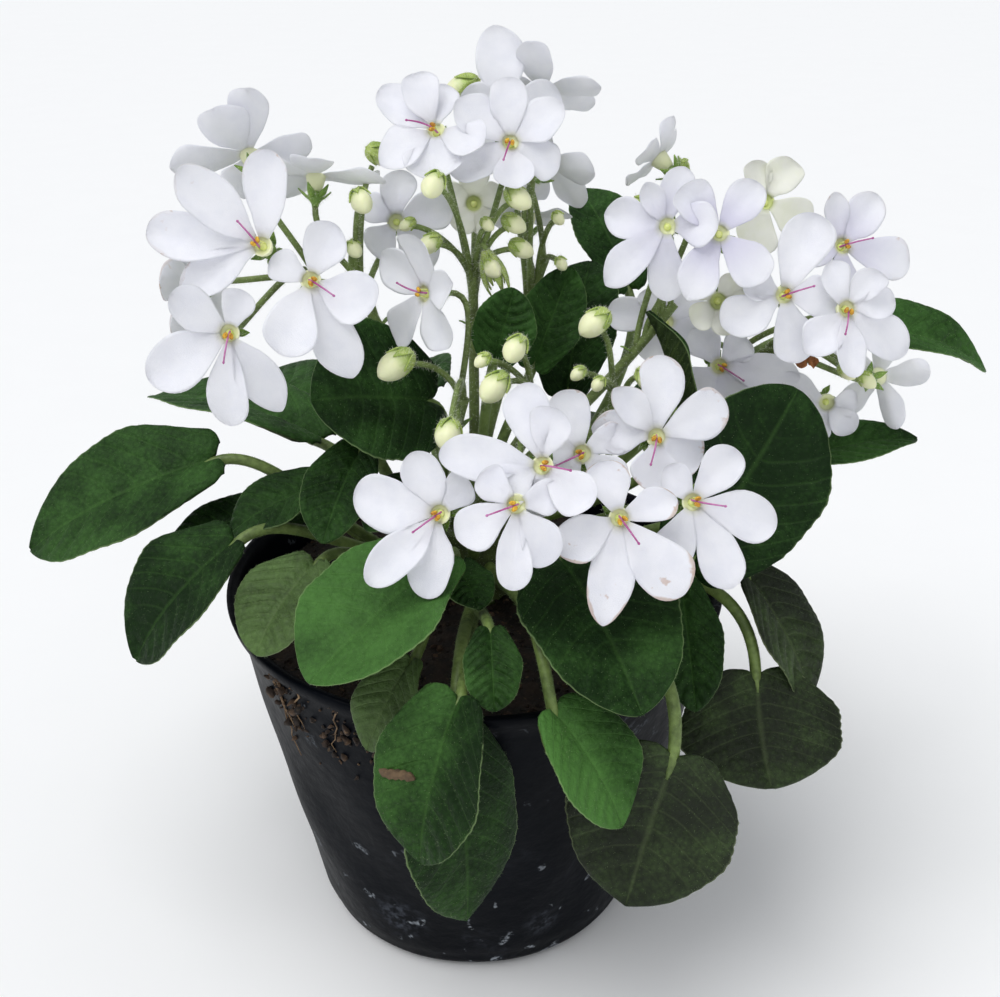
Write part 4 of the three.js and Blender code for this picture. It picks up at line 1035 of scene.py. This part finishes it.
BLOOMS = {
    "left_big": bloom((-50, -26.2, 214), (-10, 30), [(7, 20, 14, 20), (240, 22, 13, 0), (272, 27, 14, 10),
        (306, 22, 14, 22)], 312, aged=0.35),
    "left_star": bloom((-38.6, -27.4, 205.8), (5, 25), [(24, 13, 13, 8), (118, 15, 16, 10),
        (160, 24, 14, 0), (206, 18, 16, 8), (298, 9, 10, 14)], 128, "left_big"),
    "left_low": bloom((-58, -35, 195), (5, 20), [(20, 9, 10, 15), (148, 21, 13, -6), (186, 21, 12, 6),
        (242, 21, 16, 0), (305, 14, 12, 22)], 190),
    "left_side": bloom((-12, -14, 198), (-50, 10), [(0, 13, 14, 20), (70, 12, 12, 10), (140, 14, 14, 10),
        (215, 18, 14, 0), (290, 16, 14, 12)], 280),
    "left_behind": bloom((-58, 10, 228), (-160, 35), [(36, 15, 16, 15), (356, 15, 13, 25),
        (96, 19, 14, 0), (170, 14, 14, 0), (270, 15, 14, 0)]),
    "left_up": bloom((-40, 3, 224), (180, 55), [(0, 12, 13, 0), (72, 13, 13, 0), (135, 15, 14, 10),
        (222, 18, 14, 10), (278, 17, 12, 0)]),
    "left_far": bloom((-71, -5, 199), (-115, -5), [(0, 10, 12, 10), (70, 13, 13, 0), (140, 16, 13, 0),
        (215, 16, 13, 0), (290, 12, 12, 0)], aged=0.5),
    "left_shaded": bloom((-21, 18, 208), (0, 20), [(0, 12, 12, 0), (70, 14, 13, 0), (140, 14, 13, 0),
        (220, 9, 12, 0), (300, 9, 10, 0)], violet=0.2),
    "top_left": bloom((-9, 5, 235), (-10, 50), [(2, 12, 12, 20), (110, 12, 14, 0), (175, 12, 18, 0),
        (235, 15, 16, 0), (300, 18, 13, 10), (330, 13, 12, 30)], 270),
    "top_mid": bloom((10, 5, 232), (5, 40), [(0, 14, 12, 30), (62, 14, 13, 12), (115, 12, 13, 0),
        (178, 11, 13, 0), (240, 16, 13, 0), (305, 15, 14, 12)], 200, "top_left"),
    "top_tall": bloom((9, 20, 237), (3, 23), [(355, 21, 16, 0), (72, 13, 13, 0), (140, 12, 13, 0),
        (220, 12, 13, 0), (288, 11, 13, 0)]),
    "top_side": bloom((19.3, 28.2, 241), (166, 46), [(10, 14, 12, 20), (80, 13, 12, 0), (150, 15, 12, 15),
        (215, 16, 12, 15), (285, 14, 12, 0)], beside="top_tall"),
    "top_behind": bloom((20, 30, 221), (150, 25), [(0, 12, 12, 0), (72, 12, 12, 0), (144, 14, 13, 0),
        (216, 14, 13, 0), (270, 13, 12, 0)]),
    "top_low": bloom((15, 34, 206), (180, 60), [(62, 9, 10, 0), (100, 13, 13, 0), (150, 12, 13, 0),
        (210, 12, 13, 0), (275, 11, 12, 0)]),
    "top_cream": bloom((0, 26, 211), (0, 20), [(0, 7, 10, 20), (72, 7, 10, 20), (144, 7, 10, 20),
        (216, 7, 10, 20), (288, 7, 10, 20)], cream=True),
    "right_front": bloom((80, -12, 197), (0, 25), [(20, 20, 16, 10), (92, 13, 13, 0), (165, 16, 14, -4),
        (240, 16, 14, 0), (290, 10, 12, 10)], 75),
    "right_lower": bloom((96, -14, 194), (10, 25), [(40, 10, 10, 15), (84, 12, 10, 5), (128, 20, 14, 0),
        (182, 16, 10, 5), (226, 14, 13, 6), (335, 11, 10, 15)], 200, "right_front"),
    "right_violet": bloom((98, 5, 205), (15, 30), [(42, 16, 13, 10), (108, 19, 14, 0), (190, 12, 12, 0),
        (262, 10, 10, 0), (352, 12, 9, 20)], 85, violet=0.35, aged=0.3),
    "right_cream": bloom((78, 12, 215), (5, 30), [(35, 11, 12, 15), (120, 12, 14, 0), (200, 12, 14, 0),
        (270, 8, 10, 0), (345, 9, 10, 15)], cream=True),
    "right_left": bloom((50, -5, 213), (-10, 25), [(8, 14, 10, 10), (85, 11, 14, 25), (178, 17, 12, 0),
        (226, 20, 12, 0), (275, 15, 13, 0), (325, 10, 8, 10)], violet=0.25),
    "right_curled": bloom((63, -8, 212), (0, 30), [(35, 14, 12, 10), (140, 15, 14, 8), (210, 17, 13, 8),
        (320, 13, 13, 10)], beside="right_left", violet=0.45),
    "right_top": bloom((49, 15, 226), (-120, 35), [(0, 9, 10, 20), (72, 9, 10, 15), (144, 9, 10, 15),
        (216, 10, 10, 15), (288, 9, 10, 20)]),
    "right_young": bloom((64, -8, 194), (0, 15), [(30, 6, 8, 35), (95, 7, 9, 30), (165, 7, 9, 30),
        (235, 7, 9, 30), (310, 6, 8, 35)], cream=True),
    "right_dim": bloom((54, 16, 180), (0, 30), [(45, 11, 12, 10), (118, 13, 13, 0), (205, 10, 12, 0),
        (280, 15, 12, 0), (330, 9, 10, 10)], violet=0.2),
    "right_below": bloom((68, 5, 171), (5, 20), [(45, 9, 12, 10), (100, 22, 14, 0), (160, 11, 13, 0),
        (230, 13, 14, 0), (328, 11, 12, 10)], 125, violet=0.2),
    "right_back": bloom((114, 10, 166), (140, -10), [(0, 12, 9, 0), (72, 14, 9, 0), (144, 14, 9, 0),
        (216, 14, 9, 0), (288, 14, 9, 0)]),
    "right_hidden": bloom((99, 5, 160), (0, 10), [(88, 7, 10, 0), (140, 10, 10, 0), (195, 11, 10, 0),
        (245, 11, 10, 0), (295, 14, 10, 0)], beside="right_below"),
    "front_left": bloom((-7, -60, 159), (-8, 25), [(40, 9, 10, 15), (186, 19, 13, -6), (220, 22, 12, 10),
        (275, 20, 16, 0), (338, 14, 12, 15)], 230),
    "front_mid": bloom((11, -69, 166), (0, 27), [(75, 9, 10, 0), (145, 14, 12, 0), (184, 18, 10, 8),
        (242, 14, 13, 0), (310, 9, 10, 0)], 250),
    "front_double": bloom((17, -63, 173), (-10, 35), [(10, 11, 12, 26), (129, 13, 13, 0),
        (185, 10, 12, -8), (235, 12, 13, 0), (273, 23, 13, 0), (338, 18, 13, 8)], 100, "front_mid"),
    "front_behind": bloom((27, -50, 170), (0, 27), [(60, 10, 10, 0), (130, 11, 12, 0), (220, 10, 12, 0),
        (282, 8, 9, 0), (342, 14, 13, 10)], 245, "front_high", aged=0.4),
    "front_high": bloom((45, -47, 173), (5, 27), [(8, 18, 13, 10), (68, 18, 14, 0), (118, 11, 13, 0),
        (185, 12, 16, 0), (280, 14, 13, 0), (322, 14, 10, 15)], 200, aged=0.5),
    "front_low": bloom((35, -66, 161), (0, 27), [(68, 12, 10, 10), (139, 22, 16, 0), (189, 24, 13, 0),
        (243, 15, 13, 0), (344, 12, 12, 15)], 145, aged=0.7),
    "front_right": bloom((53, -58, 161), (5, 27), [(40, 14, 12, 12), (105, 20, 14, 0), (154, 21, 13, 6),
        (207, 17, 13, 0), (325, 9, 10, 15)], 100),
}
print("blooms:", len(BLOOMS), "with", sum(len(b["petals"]) for b in BLOOMS.values()), "petals")

# %% The petal's rule
THROAT_RADIUS, THROAT_DEPTH = 2.2, 4.5
PETAL_ROWS, PETAL_COLUMNS, THROAT_ROWS = 15, 11, 4
PETAL_WIDEST = 0.6
PETAL_HALF_THICK = 0.2
PETAL_CREASE = 0.45  # depth of the fold along the middle
PETAL_ORDER = 0.45  # how far every other petal stands in front of its neighbours
# the plain solids' petals have corners, so a round petal is a little slimmer and shorter
PETAL_SLIM, PETAL_SHORT = 0.84, 0.97


def bloom_frame(plan):
    azimuth, height = np.radians(plan["face"])
    face = np.array([np.sin(azimuth) * np.cos(height), -np.cos(azimuth) * np.cos(height), np.sin(height)])
    up = unit(np.array([0, 0, 1]) - face[2] * face)
    return dict(centre=plan["at"], face=face, up=up, side=np.cross(up, face))


def bloom_point(frame, clock, out, aside, rise):
    """A place in a bloom: out along the clock angle, aside from it, and risen towards the front."""
    turn = np.radians(clock)
    along = frame["up"] * np.cos(turn) + frame["side"] * np.sin(turn)
    across = np.cross(along, frame["face"])
    out, aside, rise = (np.asarray(v, float)[..., None] for v in (out, aside, rise))
    return frame["centre"] + along * out + across * aside + frame["face"] * rise


def add_petal(form, frame, plan, index, chance):
    clock, length, width, lean = plan["petals"][index]
    length, width = length * PETAL_SHORT, width * PETAL_SLIM
    others = [petal[0] for k, petal in enumerate(plan["petals"]) if k != index]
    nearest = min(abs((clock - other + 180) % 360 - 180) for other in others)
    share = np.radians(min(38, nearest / 2 + 4))
    limb = (1 - (1 - np.linspace(0, 1, PETAL_ROWS)) ** 1.9) * 0.9993
    rows = np.concatenate([np.linspace(-1, 0, THROAT_ROWS, endpoint=False), limb])
    column = np.linspace(-1, 1, PETAL_COLUMNS)
    column = mix(column, np.sin(column * np.pi / 2), 0.5)
    reach, across = np.meshgrid(rows, column, indexing="ij")
    limb, deep = np.clip(reach, 0, 1), np.clip(-reach, 0, 1)
    out = THROAT_RADIUS + length * limb - 1.3 * deep**1.4
    widest = PETAL_WIDEST + chance.uniform(-0.1, 0.08)
    base = np.clip(THROAT_RADIUS * np.sin(share) * 2 / width, 0.18, 0.6)
    widen = mix(base, 1, np.sin(np.pi / 2 * np.clip(limb / widest, 0, 1)) ** 1.15)
    blunt = chance.uniform(0, 1)
    tip = np.clip((limb - widest) / (1 - widest), 0, 1)
    close = (1 - tip ** mix(1.9, 2.7, blunt)) ** mix(0.7, 0.5, blunt)
    half = width / 2 * widen * close
    half = half * (1 + 0.06 * np.sin(7 * limb + chance.uniform(0, 6)) * np.sign(across))
    turn = across * share
    skew = chance.uniform(-0.14, 0.14) * width * limb**2
    curl = chance.uniform(-0.24, 0.1) * length * limb**2
    twist = chance.uniform(-0.13, 0.13) * across * half * limb
    wave = chance.uniform(0.4, 1.0) * np.abs(across) ** 3
    wave = wave * np.sin(9 * limb + chance.uniform(0, 6) + 1.5 * across) * close
    hollow = chance.uniform(0.1, 0.3) * 2 * half * (across**2 - 0.4) * limb
    crease = -PETAL_CREASE * np.exp(-((across / 0.4) ** 2)) * np.sin(np.pi * limb)
    order = PETAL_ORDER * ((index % 2) * 2 - 1) * smooth(limb, 0, 0.3)
    rise = length * limb * np.tan(np.radians(lean)) - 2.3 * deep + curl + twist
    rise = rise + wave * limb + hollow + crease + order
    flat = smooth(limb, 0.0, 0.25)
    far = mix(out * np.cos(turn), out, flat)
    aside = mix(out * np.sin(turn), across * half + skew, flat)
    thick = PETAL_HALF_THICK * mix(1, 0.45, np.abs(across) ** 4)
    thick = thick * mix(1, 0.6, limb)
    front = bloom_point(frame, clock, far, aside, rise + thick)
    back = bloom_point(frame, clock, far, aside, rise - thick)
    span = np.stack([across, reach * np.where(reach < 0, 0.25, 1), np.full_like(reach, plan["aged"])], -1)
    finish = CREAM_PETAL if plan["cream"] else WHITE_PETAL
    add_sheet(form, front, back, finish, finish, span, plan["violet"])


def add_ring(form, frame, loop, sides, finish, span_along=0.0):
    """A turned ring about a bloom's axis, from a closed loop of radius and rise."""
    loop = np.asarray(loop, float)
    clocks = np.linspace(0, 360, sides, endpoint=False)
    points = np.concatenate([bloom_point(frame, c, loop[:, 0], loop[:, 0] * 0, loop[:, 1]) for c in clocks])
    n = len(loop)
    pairs = [(i, (i + 1) % n) for i in range(n)]
    turns = [(j * n, (j + 1) % sides * n) for j in range(sides)]
    faces = [(a + i, b + i, b + k, a + k) for a, b in turns for i, k in pairs]
    span = np.zeros((len(points), 3))
    span[:, ALONG] = span_along
    form.add(points, faces, finish, span)


# %% [markdown]
# The anthers sit side by side on two short curved threads in the middle of the throat. The style starts
# beside them and reaches out over the petals, so it shows from far away as a thin magenta line.

# %% Anthers and style
ANTHER_LENGTH, ANTHER_RADIUS = 1.7, 0.52
STYLE_REACH, STYLE_RISE, STYLE_RADII, STYLE_STEPS = 7.0, 3.6, (0.28, 0.2), 18
BALL_END = 0.985  # how near a ball's first and last ring are to its poles


def ball_radii(rings, radius):
    return radius * np.sqrt(np.clip(1 - np.linspace(-BALL_END, BALL_END, rings) ** 2, 0, 1))


def add_stamens(form, frame, plan):
    lean = plan["style"]
    clocks = [petal[0] for petal in plan["petals"]]
    foot = min(clocks, key=lambda clock: abs((clock - lean) % 360 - 180))
    places = [bloom_point(frame, foot, THROAT_RADIUS * 0.45, 0, -THROAT_DEPTH * 0.55),
              bloom_point(frame, lean, 0, 0, 3), bloom_point(frame, lean, STYLE_REACH, 0, STYLE_RISE)]
    path = curve_places(places, np.linspace(0, 1, STYLE_STEPS))
    add_tube(form, path, np.linspace(*STYLE_RADII, STYLE_STEPS), 8, STYLE)
    tip = unit(path[-1] - path[-2])
    add_tube(form, [path[-1] + tip * s for s in np.linspace(-0.35, 0.45, 6)], ball_radii(6, 0.32), 8, STYLE)
    middle = curve_places(places, [0.36])[0] + frame["face"] * 0.5
    turn = np.radians(lean)
    across = frame["up"] * -np.sin(turn) + frame["side"] * np.cos(turn)
    for way in (-1, 1):
        centre = middle + across * way * 0.72
        axis = unit(frame["up"] * np.cos(turn) + frame["side"] * np.sin(turn) + across * way * 0.35)
        path = [centre + axis * s * ANTHER_LENGTH / 2 for s in np.linspace(-BALL_END, BALL_END, 9)]
        add_tube(form, path, ball_radii(9, ANTHER_RADIUS), 10, ANTHER, lobes=(2, 0.14))
        start = bloom_point(frame, lean + 90 * way, 1.1, 0, -3.2)
        thread = curve_places([start, start + frame["face"] * 2.2, centre], np.linspace(0, 1, 8))
        add_tube(form, thread, np.full(8, 0.2), 6, THREAD)


def add_bloom(form, plan, chance):
    frame = bloom_frame(plan)
    for index in range(len(plan["petals"])):
        add_petal(form, frame, plan, index, chance)
    inner = [(0.3, -1.5), (1.0, -1.35), (1.6, -0.95), (2.05, -0.42), (2.35, 0.05)]
    outer = [(2.6, -0.25), (2.4, -1.3), (2.05, -2.7), (1.5, -4.1), (0.6, -4.9)]
    add_ring(form, frame, [*inner, *outer], 18, CREAM_PETAL if plan["cream"] else WHITE_PETAL, -0.06)
    path = bloom_point(frame, 0, np.zeros(6), 0, np.linspace(-1.9, -0.3, 6))
    add_tube(form, path, ball_radii(6, 0.95), 10, THREAD)
    if plan["style"] is not None:
        add_stamens(form, frame, plan)


chance = np.random.default_rng(23)
for name, plan in BLOOMS.items():
    if plan["beside"]:
        continue
    form = Form()
    members = [plan] + [other for other in BLOOMS.values() if other["beside"] == name]
    for member in members:
        add_bloom(form, member, chance)
    made = form.piece(f"{name}_bloom")
    place_piece(made, [f"bloom_{name}"])
print("with blooms:", total)

# %% [markdown]
# ## Sprays
#
# A spray is one hairy stem that forks into arched pedicels. Each pedicel ends in a cup of five green sepals
# that holds a bloom, or in a nodding bud. The curves are the same as those of the plain solids, so the parts
# meet the blooms where they should, and hairs grow on all of it.

# %% The list of sprays
SPRAYS = {
    "left_outer": dict(foot=(-6.5, -1.3), stem=((-26, 8, 152), (-44, 2, 198)),
        blooms=("left_big", "left_behind", "left_far", "left_low"),
        buds=()),
    "left_inner": dict(foot=(-5.2, 4.5), stem=((-14, 12, 155), (-33, 4, 198)),
        blooms=("left_star", "left_up", "left_shaded"),
        buds=((-24, 10, 228, 7), (-28, -3, 219, 7), (-31, 2, 205, 5))),
    "top": dict(foot=(0, 3.2), stem=((0, 12, 155), (0, 8, 196)),
        blooms=("top_left", "top_mid", "top_cream"), bracts=(3.5, 4, 204),
        buds=((-9, -15, 226, 7), (12, 0, 219, 7), (11, 5, 211, 6), (4, 4, 211, 4), (-17, 4, 211, 4),
            (-11, 0, 207, 6), (13, 6, 204, 6), (5, 2, 200, 6))),
    "top_back": dict(foot=(0.6, 8), stem=((6, 20, 158), (20, 24, 196)),
        blooms=("top_tall", "top_side", "top_behind", "top_low"),
        buds=((23, 14, 210, 4), (24, 12, 198, 4), (-3, 30, 241, 9))),
    "right_inner": dict(foot=(5.8, 4.4), stem=((26, 2, 150), (54, 2, 190)),
        blooms=("right_left", "right_curled", "right_top"),
        buds=((56, 18, 223, 5), (44, 10, 215, 5))),
    "right_outer": dict(foot=(7, -1), stem=((44, 18, 140), (86, 16, 172)), dry=(89.5, -5, 176),
        blooms=("right_front", "right_lower", "right_violet", "right_cream", "right_young", "right_dim",
            "right_below", "right_back", "right_hidden"),
        buds=((101, -4, 173, 5), (107, -3, 170, 5))),
    "front_left": dict(foot=(-3.6, -6.5), stem=((-8, -12, 150), (-2, -16, 170)),
        blooms=("left_side", "front_left"),
        buds=((-19, -25, 183, 9), (-5, -48, 174, 8))),
    "front_mid": dict(foot=(1, -4.6), stem=((8, -20, 150), (18, -28, 174)),
        blooms=("front_mid", "front_double", "front_behind"),
        buds=((11, -35, 191, 7), (3, -35, 188, 4), (6, -40, 183, 8), (15, -58, 148, 6))),
    "front_right": dict(foot=(5.2, -7), stem=((26, -14, 148), (40, -20, 172)),
        blooms=("front_high", "front_low", "front_right"),
        buds=((31, -22, 193, 8), (27, -26, 181, 4), (32, -28, 179, 4), (44, -27, 180, 6))),
}
FORK_SHARE, CALYX_DEPTH = 0.8, 8.5
STEM_RADII, PEDICEL_RADII, BUD_STALK_RADII = (1.65, 1.35), (0.9, 0.8), (0.85, 0.75)
STEM_HAIRS = (105, 1.0, 0.035)  # on a square centimetre, length and thickness
print("sprays:", len(SPRAYS), "with", sum(len(s["buds"]) for s in SPRAYS.values()), "buds")


# %% Sepals, buds and pedicels
def add_leaflet(form, path, half_widths, face, finish, thick=0.16, fuzz=2.5):
    """A small narrow sheet along a path, such as a sepal or a bract. face is the way that its front looks."""
    path = np.asarray(path, float)
    tangents = headings(path)
    across = np.cross(tangents, face)
    across /= np.linalg.norm(across, axis=1)[:, None]
    normal = np.cross(across, tangents)
    column = np.linspace(-1, 1, 5)
    half = half_widths[:, None]
    middle = path[:, None] + across[:, None] * (half * column)[..., None]
    middle = middle + normal[:, None] * (half * 0.25 * column**2)[..., None]
    front, back = middle + normal[:, None] * thick, middle - normal[:, None] * thick
    along = np.repeat(np.linspace(0, 1, len(path))[:, None], 5, 1)
    span = np.stack([np.repeat(column[None], len(path), 0), along, along * 0], -1)
    add_sheet(form, front, back, finish, finish, span, fuzz=fuzz)


SEPAL_SHAPE = np.array([0.55, 0.85, 1.0, 0.9, 0.65, 0.35, 0.08])
EVEN = np.linspace(0, 1, len(SEPAL_SHAPE))


def add_stem(form, places, radii, steps, sides=9, fuzz=1.5, end=1):
    """A green stem along a curve, up to a share of its length."""
    path = curve_places(places, np.linspace(0, end, steps))
    add_tube(form, path, np.linspace(*radii, steps), sides, STEM, fuzz=fuzz)


def add_calyx(form, frame):
    """The green cup behind a bloom, with five pointed sepals."""
    rises = [-CALYX_DEPTH, -7.6, -6.6, -5.6, -4.9, -4.5]
    path = bloom_point(frame, 0, np.zeros(6), 0, np.array(rises))
    add_tube(form, path, [0.8, 1.0, 1.7, 2.0, 1.9, 1.2], 12, SEPAL, fuzz=2.5)
    for j in range(5):
        clock = 90 - 72 * j
        out = mix(1.5, 4.5, EVEN**0.9)
        rise = -6.3 + 2.9 * EVEN**1.2
        path = bloom_point(frame, clock, out, 0, rise)
        add_leaflet(form, path, SEPAL_SHAPE * 0.95, frame["face"], SEPAL)


BUD_BACK, BUD_LONGER = 1.1, 1.2  # where a bud starts behind its tip, and how long it is, in lengths


def add_bud(form, path_end, heading, length):
    """A closed bud: its folded petals, and sepals that hold its foot."""
    start = path_end - heading * length * BUD_BACK
    length = length * BUD_LONGER
    share = np.linspace(0, 1, 16) ** 0.9
    profile = (np.sin(np.pi * (0.02 + 0.965 * share**1.15)) ** 0.62) * 0.33 * length
    path = start + heading * (share[:, None] * length)
    add_tube(form, path, profile, 24, BUD, fuzz=0.3, lobes=(3, 0.045))
    side = unit(np.cross(heading, [0.1, 0.2, 1]))
    other = np.cross(heading, side)
    for j in range(5):
        turn = 2 * np.pi * j / 5 + 0.3
        out = side * np.cos(turn) + other * np.sin(turn)
        reach = np.linspace(0, 0.5, len(SEPAL_SHAPE))
        places = np.interp(reach, share, profile) + [0.0, 0.1, 0.12, 0.12, 0.15, 0.2, 0.3]
        path = [start + heading * length * s + out * r for s, r in zip(reach, places)]
        add_leaflet(form, path, SEPAL_SHAPE * 0.12 * length, out, BRACT)


def add_spray(form, plan):
    foot = np.array([*plan["foot"], CROWN_TOP + GAP])
    via, top = (np.array(place, float) for place in plan["stem"])
    stem = [foot, foot + [0, 0, 14], via, top]
    add_stem(form, stem, STEM_RADII, 30, 12, 1.0)
    tops = len(plan["blooms"]) + len(plan["buds"])
    forks = curve_places(stem, [mix(FORK_SHARE, 0.98, k / max(1, tops - 1)) for k in range(tops)])
    for name, fork in zip(plan["blooms"], forks):
        frame = bloom_frame(BLOOMS[name])
        end = frame["centre"] - frame["face"] * CALYX_DEPTH
        away = np.linalg.norm(end - fork)
        places = [fork, fork + [0, 0, away * 0.35], end - frame["face"] * away * 0.35, end]
        add_stem(form, places, PEDICEL_RADII, 20)
        add_calyx(form, frame)
    for (x, y, z, length), fork in zip(plan["buds"], forks[len(plan["blooms"]) :]):
        place = np.array([x, y, z], float)
        heading = unit(unit([x - fork[0], y - fork[1], 0]) + [0, 0, -0.5])
        tip = place + heading * length / 2
        away = np.linalg.norm(tip - fork)
        places = [fork, fork + [0, 0, away * 0.4], tip - heading * (length + away * 0.1), tip]
        fine = bezier(places, np.linspace(0, 1, 60))
        whole = np.linalg.norm(np.diff(fine, axis=0), axis=1).sum()
        add_stem(form, places, BUD_STALK_RADII, 18, fuzz=1.6, end=1 - 0.9 * length / whole)
        add_bud(form, tip, heading, length)
    for share, way in ((0.78, 0.4), (0.79, 3.6)):
        base = curve_places(stem, [share])[0]
        out = np.array([np.cos(way), np.sin(way), 0])
        path = [base + out * (1.2 + 3.2 * s) + [0, 0, 3.6 * s - 1.2 * s * s] for s in EVEN]
        add_leaflet(form, path, SEPAL_SHAPE * 0.9, [0, 0, 1], SEPAL)


def add_bracts(form, place, root):
    """A nodding tuft of small hairy leaves, in which the next buds of a spray wait."""
    place = np.array(place, float)
    arch = [root, mix(root, place, 0.4) + [0, 0, 7], place + [0, 0, 2.5], place]
    add_stem(form, arch, (0.85, 0.85), 14)
    droop = unit([0.35, -0.2, -1])
    for j in range(12):
        turn = 2.4 * j
        out = unit(np.cross(droop, [np.cos(turn), np.sin(turn), 0.3]))
        reach, spread = 6.5 + 0.55 * j, 0.8 + 0.17 * j
        path = [place + droop * reach * s + out * (0.5 + spread * np.sin(2.2 * s)) for s in EVEN]
        add_leaflet(form, path, SEPAL_SHAPE * 1.5, out, BRACT, fuzz=3)


def add_dry_petal(form, place):
    """A petal that has dried up, crumpled between its neighbours."""
    place = np.array(place, float)
    crumple, halves = np.array([0.3, -0.8, 0.5]), np.array([0.8, 1.3, 1.7, 1.9, 1.7, 1.3, 0.5])
    for turn, lift in ((0.3, 1.0), (1.7, -0.6), (2.9, 0.4)):
        out = np.array([np.cos(turn), -0.3, np.sin(turn)])
        path = [place + out * (3.2 * s) + crumple * np.sin(5 * s + lift) * lift for s in EVEN]
        add_leaflet(form, path, halves, [0.2, -0.9, 0.4], DRY, 0.14, 0)


for name, plan in SPRAYS.items():
    form = Form()
    add_spray(form, plan)
    if "bracts" in plan:
        add_bracts(form, plan["bracts"], np.array(plan["stem"][1], float))
    if "dry" in plan:
        add_dry_petal(form, plan["dry"])
    made = haired(form.piece(f"{name}_stems"), *STEM_HAIRS)
    place_piece(made, [f"spray_{name}"])
print("with sprays:", total)

# %% [markdown]
# ## The crown
#
# The short thick stem that carries everything shows only in glimpses. It is knobbly with the scars of old
# leaves, which a few waves on a turned shape give.

# %% Crown
form = Form()
crown_levels = [(0.72, 82), (0.8, 84), (1, 88), (1, 94), (1, 100), (1, 105), (1, 110), (1, 114), (1, 118),
                (1, 121), (0.97, 124), (0.85, 125)]
path = np.array([[0, 0, height] for _, height in crown_levels], float)
knobs = 1 - 0.04 * np.cos(np.arange(len(path)) * 2.1)
add_tube(form, path, np.array([r for r, _ in crown_levels]) * CROWN_RADIUS * knobs * 0.97, 40, CROWN, fuzz=1,
         lobes=(7, 0.02))
made = haired(form.piece("crown_stem"), 60, 0.8)
place_piece(made, ["crown"])
print("crown:", len(made.data.polygons), "faces")

# %% [markdown]
# ## The floor
#
# The plant stands on a plain pale floor, wide enough that the camera never sees its edge.

# %% Floor
finish = Finish("floor")
grain = finish.noise(40, 3)
finish.done(Base_Color=finish.blend(grain, tone("#fdfdfd"), tone("#fafafa")), Roughness=0.7 + grain * 0.1)
mesh = bpy.data.meshes.new("floor")
FLOOR_HALF, FLOOR_DROP = 6, 0.0005  # metres
corners = [(x * FLOOR_HALF, y * FLOOR_HALF, -FLOOR_DROP) for x, y in ((-1, -1), (1, -1), (1, 1), (-1, 1))]
mesh.from_pydata(corners, [], [(0, 1, 2, 3)])
mesh.materials.append(finish.material)
floor = bpy.data.objects.new("floor", mesh)
bpy.context.scene.collection.objects.link(floor)
print("floor", FLOOR_HALF * 2, "m wide")

# %% [markdown]
# ## The count
#
# The pieces and their triangles are counted and printed at the end.

# %% Sizes and end
print("pieces and triangles:", total)
